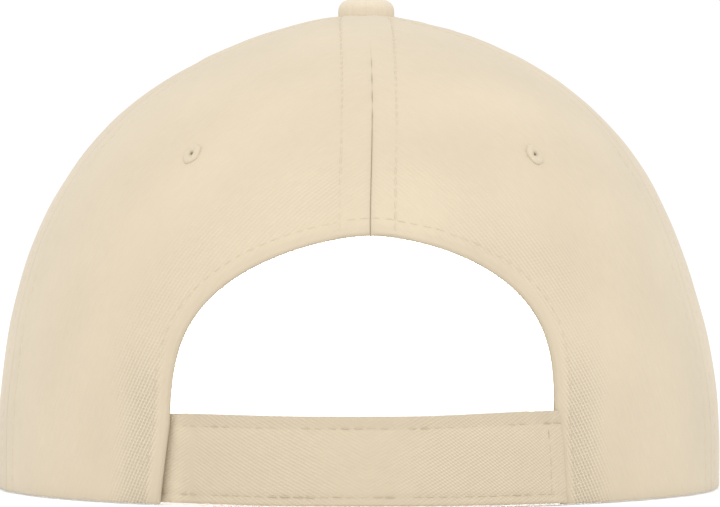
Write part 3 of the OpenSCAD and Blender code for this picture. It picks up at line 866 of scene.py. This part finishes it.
def make_seam_tape(name, node, under):
    seam = SEAMS[name]
    low, high = node_box(node)
    z_rows = arc_rows(max(low[2], 1.0), high[2], 0.4, 1.6)
    seam_t = mix(seam.low_t, seam.high_t, z_rows / CROWN_H)
    half_t = TAPE_HALF_W / np.maximum(per_degree(seam_t, z_rows), TAPE_HALF_W / 30.0)
    ends = np.array([0, 0.02, 0.05, 0.1, 0.16, 0.24])
    f = np.concatenate([-1 + ends, np.linspace(-0.66, 0.66, 11), 1 - ends[::-1]])
    t = seam_t[:, None] + half_t[:, None] * f[None]
    z = np.repeat(z_rows[:, None], len(f), 1)
    along = np.interp(z_rows, MERIDIAN_Z, MERIDIAN.along)[:, None]
    sag = 0.05 * puckers[name]((along + 0 * t)[..., None])
    stitched = 0.14 * bell(np.abs(f) * TAPE_HALF_W, TAPE_STITCH, 0.6)
    fold = 0.9 * turn_in((1.0 - np.abs(f)) * TAPE_HALF_W, 0.5 * (TAPE_OUT - TAPE_IN))
    outer = TAPE_OUT - fold + sag
    inner = TAPE_IN + fold + sag - tape_hump(np.abs(f)) + stitched
    offset = half_t * TAPE_STITCH / TAPE_HALF_W
    rows = [inner_row(seam_t + side * offset, z_rows, TAPE_ROW_D) for side in (-1, 1)]
    lining(node, "cloth", t, z, outer, inner, "tape", "seam_tape",
           straight(f[None] * TAPE_HALF_W, along), under, rows)


def make_facing():
    """The facing inside the rear arch, folded along both edges."""
    first, last, high_row = 0.8, 10.9, 8.6
    grow = first + spaced(last - first, 0.06, 0.7)
    q = arch_steps(72, 0.03)
    sides = [np.stack([arch_point(q, side, g) for g in grow], -1) for side in (1, -1)]
    t, z = np.concatenate([sides[0], sides[1][:, -2::-1]], 1)
    _, along = ARCH.near(at(t, z))
    s, edge = grow - grow[0], from_ends(grow)
    fold = 0.9 * turn_in(edge, 0.25)
    wave = 0.05 * puckers["arch"](along[..., None])
    row_dip = 0.14 * (bell(s, ARCH_STITCH - 0.4, 0.6) + bell(s, 8.2, 0.6))
    outer = TAPE_OUT - fold + wave
    inner = TAPE_IN + fold + wave + row_dip - 0.12 * bell(edge, 0.8, 0.6)
    rows = [inner_row(*arch_line(gap), TAPE_ROW_D) for gap in (ARCH_STITCH, high_row)]
    lining("opening_facing", "cloth", t, z, outer, inner, "tape", "seam_tape",
           straight(s[None], along), ["back_panel_left", "back_panel_right"], rows, lengthwise=True)


def band_grid(end_t, low, high, step):
    """Angles, heights and rises above the hem of a strip round the inside of the crown."""
    count = int((360 - 2 * end_t) * 1.6 / step)
    t_line = mix(end_t, 360.0 - end_t, spaced(1.0, 0.0004, 1.0 / count))
    rise = low + spaced(high - low, 0.08, 1.5)
    t = np.repeat(t_line[None], len(rise), 0)
    rise = rise[:, None]
    return t, hem_z(t) + rise, rise


def make_sweatband():
    end_t, top_rise = 33.2, 32.0
    t, z, rise = band_grid(end_t, node_box("sweatband")[0][2], top_rise, 1.5)
    places = at(t, z)
    around = np.concatenate([[0.0], np.cumsum(np.linalg.norm(np.diff(places[0], axis=0), axis=1))])
    s = np.minimum(from_ends(rise), from_ends(around))
    fold = 0.94 * turn_in(s, 0.5 * (BAND_OUT - BAND_IN))
    wave = puckers["band"]((around + 0 * t)[..., None])
    slack = 0.28 * ripple(places) * smoothstep(6.0, 30.0, rise) + 0.1 * wave
    low_row, high_row = 3.2, top_rise - 3.4
    dips = 0.2 * (bell(rise, low_row, 0.7) + bell(rise, high_row, 0.7))
    outer = BAND_OUT - fold + 0.3 * slack
    inner = BAND_IN + fold + 0.8 * slack + dips - 0.12 * wave * bell(rise, 5.0, 3.0)
    row_t = np.linspace(end_t + 0.6, 360 - end_t - 0.6, 700)
    rows = [inner_row(row_t, hem_z(row_t) + up, BAND_IN + 0.1) for up in (low_row, high_row)]
    lining("sweatband", "cloth", t, z, outer, inner, "band", "sweatband_cotton",
           diagonal(around, rise), ["front_panel", "side_panel_left", "side_panel_right"], rows, 0.17)


def make_padding():
    """The strip of padding between the sweatband and the crown."""
    end_t, low, high, length = 46.0, 3.0, 29.0, 400
    t, z, rise = band_grid(end_t, low, high, 2.5)
    around = length * np.linspace(0.0, 1.0, t.shape[1])
    s = np.minimum(from_ends(rise), from_ends(around))
    thick_out, thick_in = -2.3, -3.4
    fold = 0.94 * turn_in(s, 0.5 * (thick_out - thick_in))
    puff = 0.08 * ripple(at(t, z))
    obj = lining("sweatband_padding", "fleece", t, z, thick_out - fold + puff,
                 thick_in + fold + 0.3 * puff, "fleece", "padding_fleece", straight(around, rise))


def make_stiffener():
    """The gauze stiffener behind the front panel, clear of the seam tapes."""
    top_share, clear = 0.93, 6.0
    height, width, ball_r = 130, 90, 95.0
    share = spaced(top_share, 0.004, 0.011)
    edge_z = mix(hem_z(134.0) + clear, ROW_TOP, share)
    seam_t = mix(FRONT_SEAM_T, 2 * TOP_STEP_T, edge_z / CROWN_H)
    reach = SEMI_X * inset(seam_t, edge_z / CROWN_H)
    half = np.degrees(np.arcsin(np.minimum(0.5, TAPE_HALF_W / reach)))
    side_t = (seam_t + half + 1.5 * (1 + share))[:, None]
    f = spaced(1.0, 0.003, 0.012)
    t = mix(side_t, 360.0 - side_t, f[None])
    z = mix(hem_z(t) + clear, ROW_TOP, share[:, None])
    places = at(t, z)
    lift = DRAPE * drape(places)
    fold = 0.9 * turn_in(np.minimum(from_ends(share)[:, None] * height, from_ends(f) * width), 0.3)
    outer = TAPE_OUT + 0.15 - fold + lift
    inner = TAPE_OUT - 0.5 + fold + lift + 0.05 * ripple(places)
    u = (f - 0.5) * np.radians(360 - 2 * side_t) * ball_r * inset(180.0, share * top_share)[:, None]
    lining("front_stiffener", "gauze", t, z, outer, inner, "gauze", "stiffener_mesh",
           diagonal(u, share[:, None] * 150.0), ["front_panel"])


# ---- eyelets and button ----


def make_eyelet(name, t):
    """A sewn eyelet: a ring of thread wrapped over the edge of the hole, slightly oval."""
    t, z = np.array(t), np.array(EYELET_SHARE * CROWN_H)
    normal = skin_normal(t, z / CROWN_H)
    out, _ = crown_relief(t[None], z[None])
    centre = at(t, z, out[0])
    upward = unit(np.array([TOP_LEAN, 0.0, CROWN_H]) - centre)
    long_way = unit(upward - (upward @ normal) * normal)
    side_way = np.cross(normal, long_way)
    wraps, steps, ring_points = 34, 8, 22
    around = 2 * np.pi * np.arange(wraps * steps)[:, None] / (wraps * steps)
    section = 2 * np.pi * np.arange(ring_points) / ring_points
    hole_r, ring_r = 0.45, 2.4
    stretch_long, stretch_side = 1.12, 0.86
    strand = np.abs(np.cos(0.5 * wraps * around + 0.5 * np.cos(section)))
    swell = 1.0 + 0.14 * strand**0.6 + 0.07 * np.sin(2 * around + t) + 0.06 * np.sin(5 * around)
    rho = (hole_r + ring_r) / 2 + (ring_r - hole_r) / 2 * np.cos(section) * swell
    height = np.where(np.sin(section) < 0, 1.25 * np.sin(section), 0.12 + 0.6 * np.sin(section) * swell)
    points = (centre + (rho * stretch_long * np.cos(around))[..., None] * long_way
              + (rho * stretch_side * np.sin(around))[..., None] * side_way
              + height[..., None] * normal)
    ids = np.arange(rho.size).reshape(rho.shape)
    beside = np.roll(ids, -1, 1)
    faces = np.stack([ids, beside, np.roll(beside, -1, 0), np.roll(ids, -1, 0)], -1)
    obj = make_mesh("eyelet_" + name + "_thread", points.reshape(-1, 3), faces.reshape(-1, 4).tolist(),
                    "eyelet")
    piece(face_outward(obj), "eyelet_thread", "eyelet_" + name)


def make_button():
    """The button's cloth, pulled over its shell and gathered under the rim."""
    lo, hi = node_box("button_cover")
    radius, height = (hi[0] - lo[0]) / 2, hi[2] - lo[2]
    centre = np.array([(lo[0] + hi[0]) / 2, (lo[1] + hi[1]) / 2, lo[2]])
    power, cloth_t = 0.62, 0.5
    rise = np.concatenate([[0.0] * 4, [0.6, 1.5, 3.0], np.linspace(5.0, 88.0, 30), [89.6, 90.0]])
    rise = np.radians(rise)[:, None]
    skirt = np.zeros(rise.shape)
    skirt[:3, 0] = (-0.55, -0.38, -0.18)
    around = np.radians(np.linspace(0.0, 360.0, 145))
    wrinkle = 0.05 * np.cos(17 * around) + 0.035 * np.cos(26 * around + 1.0)

    def dome(r, h, pleats):
        flat = r * np.cos(rise) ** power + np.cos(rise) ** 2 * pleats * wrinkle
        up = h * np.sin(rise) ** power + skirt + 0 * flat
        return np.stack([flat * np.sin(around), flat * np.cos(around), up], -1) + centre

    turned = radius * np.cos(rise) ** power + height * (1 - np.sin(rise) ** power) - skirt
    inside = dome(radius - cloth_t, height - cloth_t, 0.4)
    obj = shell("button_cover_twill", dome(radius, height, 1.0), inside, "button",
                diagonal(turned * np.sin(around), turned * np.cos(around), 0.3))
    weld(obj)
    piece(obj, "twill", "button_cover")


def weld(obj, gap_mm=0.005):
    """Joins points of a surface that meets itself."""
    mesh = bmesh.new()
    mesh.from_mesh(obj.data)
    bmesh.ops.remove_doubles(mesh, verts=mesh.verts, dist=gap_mm * MM)
    loose = [e for e in mesh.edges if not e.link_faces]
    bmesh.ops.delete(mesh, geom=loose, context="EDGES")
    mesh.to_mesh(obj.data)
    mesh.free()


# ---- visor ----

VISOR_HALF_T, VISOR_HALF_W, VISOR_POWER = 65.0, 82.0, 2.4
VISOR_L, VISOR_DROP, VISOR_ROOT = 70.0, 2.0, 0.3
BOARD_T, COVER_T, SEWN = 2.0, 0.7, 0.05
VISOR_LIFT = COVER_T + BOARD_T / 2 + SEWN + 0.2
COVER_IN = BOARD_T / 2 + SEWN
COVER_OUT = COVER_IN + COVER_T
ROW_GAP = 6.0
STITCH_ROWS = 4.5 + ROW_GAP * np.arange(8)
CLEAR_OF_CROWN = 1.03   # x and y as shares of the crown's, squared and added: 1 on its hem


def visor_edge(s):
    a = 90.0 * np.abs(s)
    y_end, y_front = -SEMI_Y * cos_deg(VISOR_HALF_T), -SEMI_Y - VISOR_L
    x = -np.sign(s) * VISOR_HALF_W * sin_deg(a) ** (2 / VISOR_POWER)
    y = mix(y_end, y_front, np.maximum(0.0, cos_deg(a)) ** (2 / VISOR_POWER))
    return np.stack([x, y], -1)


def visor_height(x, y):
    forward = np.maximum(0.0, (-SEMI_Y - y) / VISOR_L)
    across = 1.0 - (x / SEMI_X) ** 2
    return HEM_RISE * across - VISOR_DROP * forward**2 * across + VISOR_LIFT


def visor_up(x, y):
    e = 0.2
    dx = (visor_height(x + e, y) - visor_height(x - e, y)) / (2 * e)
    dy = (visor_height(x, y + e) - visor_height(x, y - e)) / (2 * e)
    return unit(np.stack([-dx, -dy, 1.0 + 0 * dx], -1))


def visor_mid(s, f):
    """Points of the board's middle: f is 0 at the crown and 1 at the visor's edge."""
    t = 180.0 + VISOR_HALF_T * s
    root = at(t, hem_z(t), VISOR_ROOT + 0 * t)[..., :2]
    p = mix(root, visor_edge(s), f[..., None])
    return np.concatenate([p, visor_height(p[..., 0], p[..., 1])[..., None]], -1)


EDGE = Line(np.pad(visor_edge(np.linspace(-1, 1, 900)), ((0, 0), (0, 1))))


def visor_relief(points):
    """Grooves along the stitching rows, with slight ripples between them, and how far each
    point is from the visor's edge."""
    plan = points * (1.0, 1.0, 0.0)
    s, _ = EDGE.near(plan)
    out = 0.06 * ripple(plan) - 0.17 * bell(s[..., None], STITCH_ROWS, 0.75).sum(-1)
    puff = 0.1 * np.sin(np.pi * np.clip((s - STITCH_ROWS[0]) / ROW_GAP, 0.0, None)) ** 2
    return out + np.where(s < STITCH_ROWS[-1], puff, 0.05), s


TURN = np.radians([12, 26, 40, 54, 68, 80, 88.0])


def wrapped(grids, end, before):
    """Columns that carry the cover round the end of the board at column end; before is the
    column next to it. The grids are the way out, the relief, the middle and the plan's x and y."""
    lift, relief, mid, x, y = (grid[:, end, None] for grid in grids)
    inside = grids[2][0, before]
    beyond = unit(np.cross(unit(mid[-1, 0] - mid[0, 0]), lift[0, 0]))
    beyond = beyond * np.sign(beyond @ (mid[0, 0] - inside))
    turned = unit(np.sin(TURN)[:, None] * beyond + np.cos(TURN)[:, None] * lift)
    return [turned, relief * np.cos(TURN), mid + 0 * turned, x + 0 * TURN, y + TURN * COVER_OUT]


def make_cover(name, side):
    """One cloth cover of the visor, wrapped round the board's edge down to its middle."""
    s = -np.sin(np.radians(np.linspace(-90.0, 90.0, 190)))
    s = 0.5 * s + 0.5 * np.linspace(1.0, -1.0, 190)
    mid = visor_mid(*np.meshgrid(s, spaced(1.0, 0.004, 0.0075)))
    up = visor_up(mid[..., 0], mid[..., 1])
    relief, edge_s = visor_relief(mid)
    last, before = mid[-1], mid[-2]
    away = unit(np.cross(unit(np.gradient(last, axis=0)), up[-1]))
    away *= np.sign((away * (last - before)).sum(-1, keepdims=True))
    turn = TURN[:, None]
    wrap = np.sin(turn)[..., None] * away + np.cos(turn)[..., None] * side * up[-1]
    grids = [np.concatenate(pair) for pair in (
        (side * up, wrap), (relief * smoothstep(0.0, 2.5, edge_s), 0 * wrap[..., 0]),
        (mid, last + 0 * wrap), (mid[..., 0], last[:, 0] + 0 * turn),
        (mid[..., 1], last[:, 1] - turn * COVER_OUT))]
    first, final = wrapped(grids, 0, 1), wrapped(grids, -1, -2)
    lift, relief, mid, x, y = (np.concatenate([a[:, ::-1], grid, b], 1)
                               for a, grid, b in zip(first, grids, final))
    outer = mid + (COVER_OUT + relief)[..., None] * lift
    inner = mid + COVER_IN * lift
    obj = piece(shell(name + "_twill", outer, inner, "twill", diagonal(x, y, 0.85)), "twill", name)
    stitches = sew(name + "_stitches", visor_rows(side), "thread", pitch=3.1)


def visor_rows(side):
    """Points and normals of each stitching row, parallel to the visor's edge."""
    edge = EDGE.points[:, :2]
    tangent = unit(np.gradient(edge, axis=0))
    inward = np.stack([-tangent[:, 1], tangent[:, 0]], -1)
    inward *= np.sign(inward[len(edge) // 2, 1])
    rows = []
    for gap in STITCH_ROWS:
        p = edge + gap * inward
        outside = (p[:, 0] / SEMI_X) ** 2 + (p[:, 1] / SEMI_Y) ** 2 > CLEAR_OF_CROWN
        p = p[outside & (EDGE.near(np.pad(p, ((0, 0), (0, 1))))[0] > gap - 0.05)]
        up = visor_up(p[:, 0], p[:, 1])
        base = np.concatenate([p, visor_height(p[:, 0], p[:, 1])[:, None]], 1)
        relief, _ = visor_relief(base)
        rows.append((base + side * (COVER_OUT + relief)[:, None] * up, side * up))
    return rows


# ---- straps ----

STRAP_Z = node_box("hook_strap")[0][2]
STRAP_H, STRAP_T = 20.0, 1.4
SWING_T, PEEL_T, TIP_END_T, TAB_T = 28.0, 0.0, -31.6, -28.5
STRAP_MIDDLE_T, SHARED_CUT_T = -1.0, 12.0
TUCKED, OVER = ROOT_OUT - STRAP_T / 2, 0.3 + STRAP_T / 2
LOW_ROW, HIGH_ROW = 2.1, STRAP_H - 2.7
HERRINGBONE_ARC = 41.0      # how far along the strap its twill turns the other way
TWILL_LEAN = math.radians(28.0)
HIDDEN_ROOT = 12.0      # degrees of a strap behind its joint, sewn under the panel
PER_DEGREE = 1.55       # millimetres along the straps for one degree

strap_ripple = Waves(6, 10.0, 26.0, dims=2)


def strap_mid(t):
    return mix(TUCKED, OVER, smoothstep(0.0, 1.0, 1.5 * (SWING_T + 1.0 - t) / (SWING_T - 1.0)))


def strap_shape(t, rise, tip=False):
    """Angles and heights of a strap's points: it widens towards its ends, and its tip is cut
    at a slant."""
    wider = 0.5 * smoothstep(8.0, 28.0, t) + 0.95 * smoothstep(5.0, 31.0, -t)
    slant = 0.7 * smoothstep(TIP_END_T + 7.0, TIP_END_T, t) if tip else 0.0
    return t + slant * rise / STRAP_H, STRAP_Z + rise * (1.0 + wider / STRAP_H)


def strap_arc(t):
    """Distance along the strap from the centre back, positive to the left."""
    fine = np.linspace(-60.0, 60.0, 1201)
    step = np.linalg.norm(np.diff(at(fine, 10.0 + 0 * fine), axis=0), axis=1)
    arc = np.concatenate([[0.0], np.cumsum(step)])
    return np.interp(t, fine, arc) - np.interp(0.0, fine, arc)


def strap_piece(name, t_line, mid_d, ends):
    """A length of strap of two layers, with turned edges. ends says which ends are turned. The two layers
    are sewn together and made as one shell."""
    rise = spaced(STRAP_H, 0.08, 0.7)[:, None]
    t, z = strap_shape(t_line[None], rise, ends[0])
    arc = strap_arc(t_line)
    s_edge = from_ends(rise) + 0 * t
    s = s_edge
    for turned, from_end in zip(ends, (arc - arc[0], arc[-1] - arc)):
        if turned:
            s = np.minimum(s, from_end)
    radius = STRAP_T / 2
    fold = 0.95 * turn_in(s, radius)
    wave = puckers["strap"]((arc + 0 * t)[..., None])
    dips = 0.13 * bell(rise, LOW_ROW, 0.5) + 0.05 * bell(rise, HIGH_ROW, 0.5)
    relief = 0.08 * wave * (bell(rise, LOW_ROW, 2.6) + bell(rise, HIGH_ROW, 2.6)) - dips
    relief += 0.1 * strap_ripple(np.stack([arc + 0 * t, z], -1))
    outer_d = mid_d + radius - fold + relief
    inner_d = mid_d - radius + fold + 0.4 * relief + 0.5 * dips
    u = np.abs(arc - strap_arc(STRAP_MIDDLE_T)) + 0 * t
    u = np.where((arc > HERRINGBONE_ARC) & (u > HERRINGBONE_ARC), 2 * HERRINGBONE_ARC - u, u)
    strength = 0.26 + 0.66 * smoothstep(3.0, 16.0, u)
    strength *= smoothstep(-0.5, 1.5, np.abs(arc - HERRINGBONE_ARC))
    across = z * math.cos(TWILL_LEAN) - u * math.sin(TWILL_LEAN)
    weave = straight(across, u * math.cos(TWILL_LEAN) + z * math.sin(TWILL_LEAN), strength)
    # Darker along the top band above the high row. Painted shade along the low row and the rolled edges, and
    # painted light near the root, where the panel's edge shades it.
    painted_shade_and_tone = 0.42 * smoothstep(HIGH_ROW - 0.6, HIGH_ROW + 0.4, rise) + 0.3 * bell(rise, LOW_ROW, 0.6)
    painted_shade_and_tone = painted_shade_and_tone + 0.35 * bell(s_edge, 0.0, 0.5) - 1.0 * bell(t, SWING_T + 2.0, 2.0)
    obj = shell(name, at(t, z, outer_d), at(t, z, inner_d), "strap", weave, sharp_angle=60, painted_shade_and_tone=painted_shade_and_tone)
    return obj


def strap_rows(t_line, mid_d, face, tip=False):
    """Stitching rows along a strap, on its outer face (1) or its inner one (-1)."""
    rows = []
    for up, depth in ((LOW_ROW, 0.12), (HIGH_ROW, 0.15)):
        t, z = strap_shape(t_line, up, tip)
        d = mid_d + face * (STRAP_T / 2 - depth)
        rows.append((at(t, z, d), face * skin_normal(t, z / CROWN_H)))
    return rows


def blended(pieces):
    """Bakes the strap pieces' placements into their meshes."""
    for obj in pieces:
        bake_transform(obj)


def make_hook_strap():
    """The hook strap in two pieces that meet at one cut."""
    root_t = np.linspace(SHARED_CUT_T, SWING_T + HIDDEN_ROOT, 90)
    tip_t = np.linspace(TIP_END_T, SHARED_CUT_T, 140)
    edge = TIP_END_T + spaced(3.0, 0.05, 0.32, both=False)
    tip_t = np.concatenate([edge, tip_t[tip_t > edge[-1] + 0.1]])
    pieces = []
    for name, t_line, tip, under in (("hook_strap", root_t, False, "back_panel_left"),
                                     ("hook_strap_tip", tip_t, True, "loop_tape")):
        obj = strap_piece(name + "_twill", t_line, strap_mid(t_line), (tip, False))
        rows = [row for face in (1, -1) for row in strap_rows(t_line, strap_mid(t_line), face, tip)]
        if tip:
            t, z = strap_shape(np.full(60, TIP_END_T + 2.6), np.linspace(LOW_ROW, HIGH_ROW, 60), True)
            rows.append((at(t, z, strap_mid(t) + STRAP_T / 2 - 0.1), skin_normal(t, z / CROWN_H)))
        stitches = sew(name + "_stitches", rows, "strap_thread", 0.13, body=None)
        pieces.append((obj, stitches))
    root, tip = pieces
    blended(root)
    blended(tip)
    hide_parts("hook_strap_root", "hook_strap")
    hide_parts("hook_strap_tip")


def make_loop_tab():
    end_t, count = 1.5, 180
    t_line = np.linspace(TAB_T - HIDDEN_ROOT, end_t, count)
    mid_d = np.full(count, (ROOT_OUT + ROOT_IN) / 2)
    tab = strap_piece("loop_tab_twill", t_line, mid_d, (True, True))
    stitches = sew("loop_tab_stitches", strap_rows(t_line, mid_d, -1), "strap_thread",
                   0.13, body=None)
    blended((tab, stitches))
    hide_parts("loop_tab_root", "loop_tab")


def grip(node, body, from_t, to_t, out_d, in_d, material, slot):
    """The woven backing of a hook or loop tape."""
    rise = 1.5 + spaced(STRAP_H - 3.0, 0.08, 0.8)[:, None]
    t_line = np.linspace(from_t, to_t, 90)
    t, z = t_line + 0 * rise, STRAP_Z + rise + 0 * t_line
    arc = strap_arc(t_line)
    fold = 0.9 * turn_in(np.minimum(from_ends(rise), from_ends(arc)), (out_d - in_d) / 2)
    obj = shell(node + "_backing", at(t, z, out_d - fold), at(t, z, in_d + fold), material, straight(arc, z))
    piece(obj, slot, node, body=body)


def make_hook_tape():
    """The hook tape under the strap's tip, with rows of bent hooks."""
    lo_t, hi_t = -26.5, PEEL_T - 2.0
    top = OVER - STRAP_T / 2 - SEWN
    grip("hook_tape", "strap_tip", lo_t, hi_t, top, top - 0.35, "hooks", "hook_nylon")
    pitch_t, pitch_z = 0.85, 1.25
    t0, up0 = np.meshgrid(np.arange(lo_t + 0.7, hi_t - 0.5, pitch_t), np.arange(2.6, STRAP_H - 2.4, pitch_z))
    t0, up0 = t0.reshape(-1, 1), up0.reshape(-1, 1)
    t0 = t0 + rng.uniform(-0.08, 0.08, len(t0))[:, None]
    lean = rng.choice([-1.0, 1.0], len(t0))[:, None]
    u = np.linspace(0.0, 1.0, 7)
    stem, hook_r = 0.35, 0.18
    bend = np.pi * 1.15 * np.clip((u - stem) / (1.0 - stem), 0.0, 1.0)
    depth = 0.28 * np.minimum(u / stem, 1.0) + hook_r * np.sin(bend)
    t = t0 + lean * hook_r * (1.0 - np.cos(bend)) / PER_DEGREE
    paths = at(t, STRAP_Z + up0 + 0.12 * u, top - 0.33 - depth + 0 * t)
    points, faces = tubes(paths, np.array([0.0, 0.0, 1.0]) + 0 * paths, 0.075, sides=5)
    piece(make_mesh("hook_tape_hooks", points, faces, "hooks"), "hook_nylon", body="strap_tip")


def make_loop_tape():
    """The loop tape on the tab, with a pile of small loops that lie every way."""
    lo_t, hi_t = TAB_T + 1.5, 0.5
    low = ROOT_OUT + SEWN
    grip("loop_tape", "loop_tab", lo_t, hi_t, low + 0.4, low, "loops", "loop_nylon")
    count = 900
    t0, up0, heading, size = (rng.uniform(a, b, count)[:, None] for a, b in (
        (lo_t + 0.5, hi_t - 0.5), (2.3, STRAP_H - 2.3), (0.0, 2 * np.pi), (0.5, 1.0)))
    u = np.linspace(0.0, 1.0, 7)
    reach = size * (u - 0.5) * 1.3
    t = t0 + reach * np.cos(heading) / PER_DEGREE
    z = STRAP_Z + up0 + reach * np.sin(heading)
    paths = at(t, z, low + 0.36 + 0.42 * size * np.sin(np.pi * u) ** 0.7)
    points, faces = tubes(paths, skin_normal(t, z / CROWN_H), 0.045, sides=4)
    piece(make_mesh("loop_tape_pile", points, faces, "loops"), "loop_nylon", body="loop_tab")


# ---- the studio, in metres ----

BACKDROP, FILL = 1.03, 1.17     # brightness of the studio in front of the cap and behind it
KEY_POWER, INNER_POWER = 6.1, 0.24      # watts
PHOTO_LENS, PHOTO_DISTANCE = 244.9, 1.2     # focal length in mm, and from the cap's middle
WHITE = (1.0, 1.0, 1.0, 1.0)


def area_light(name, place, target, size, power, spread=180.0):
    data = bpy.data.lights.new(name, "AREA")
    data.shape, data.size, data.energy, data.spread = "DISK", size, power, math.radians(spread)
    obj = bpy.data.objects.new(name, data)
    obj.location = place
    toward = Vector(target) - Vector(place)
    obj.rotation_euler = toward.to_track_quat("-Z", "Y").to_euler()
    obj.visible_camera = False
    bpy.context.scene.collection.objects.link(obj)


def make_studio():
    scene = bpy.context.scene
    scene.view_settings.view_transform = "Standard"
    world = bpy.data.worlds.new("studio")
    world.use_nodes = True
    nodes, links = world.node_tree.nodes, world.node_tree.links
    nodes["Background"].inputs["Color"].default_value = WHITE
    split = nodes.new("ShaderNodeSeparateXYZ")
    links.new(nodes.new("ShaderNodeTexCoord").outputs["Generated"], split.inputs[0])
    fade = nodes.new("ShaderNodeMapRange")
    links.new(split.outputs["Y"], fade.inputs["Value"])
    fill(fade.inputs, {"From Min": -0.5, "From Max": 0.5, "To Min": BACKDROP, "To Max": FILL})
    links.new(fade.outputs["Result"], nodes["Background"].inputs["Strength"])
    scene.world = world
    mesh = bpy.data.meshes.new("floor")
    half, z = 6.0, -0.0003
    corners = [(-half, -half, z), (half, -half, z), (half, half, z), (-half, half, z)]
    mesh.from_pydata(corners, [], [[0, 1, 2, 3]])
    floor = bpy.data.objects.new("floor", mesh)
    paint = bpy.data.materials.new("pale_floor")
    paint.use_nodes = True
    fill(paint.node_tree.nodes["Principled BSDF"].inputs, {
        "Base Color": (0.66, 0.66, 0.66, 1.0), "Roughness": 0.9, "Emission Color": WHITE,
        "Emission Strength": 0.36})
    mesh.materials.append(paint)
    scene.collection.objects.link(floor)
    area_light("key", (0.0, 1.1, 1.15), (0.0, 0.0, 0.05), 1.0, KEY_POWER)
    area_light("head_space", (0.0, 0.066, 0.036), (0.0, -0.09, 0.042), 0.05, INNER_POWER, 80.0)


def make_camera():
    """A level camera behind the cap at mid-height, far enough for the photograph's view."""
    data = bpy.data.cameras.new("camera")
    data.lens, data.sensor_width = PHOTO_LENS, 36.0
    data.clip_start, data.clip_end = 0.05, 30.0
    obj = bpy.data.objects.new("camera", data)
    obj.location = (0.0, PHOTO_DISTANCE, 0.060)
    obj.rotation_euler = (math.pi / 2 - math.radians(0.158), 0.0, math.pi)
    bpy.context.scene.collection.objects.link(obj)
    bpy.context.scene.camera = obj


# ---- everything ----

make_panels()
make_topstitching()
for tape_seam, (tape_node, tape_under) in TAPES.items():
    make_seam_tape(tape_seam, tape_node, tape_under)
make_facing()
make_sweatband()
make_padding()
make_stiffener()
for eyelet_name, eyelet_t in EYELETS.items():
    make_eyelet(eyelet_name, eyelet_t)
make_button()
make_cover("visor_top_cover", 1)
make_cover("visor_under_cover", -1)
make_hook_strap()
make_loop_tab()
make_hook_tape()
make_loop_tape()

for node, key in {"button_shell": "metal", "button_rivet": "metal", "button_washer": "metal",
                  "visor_board": "board"}.items():
    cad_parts[node].data.materials.clear()
    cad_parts[node].data.materials.append(MATERIALS[key])

make_studio()
make_camera()
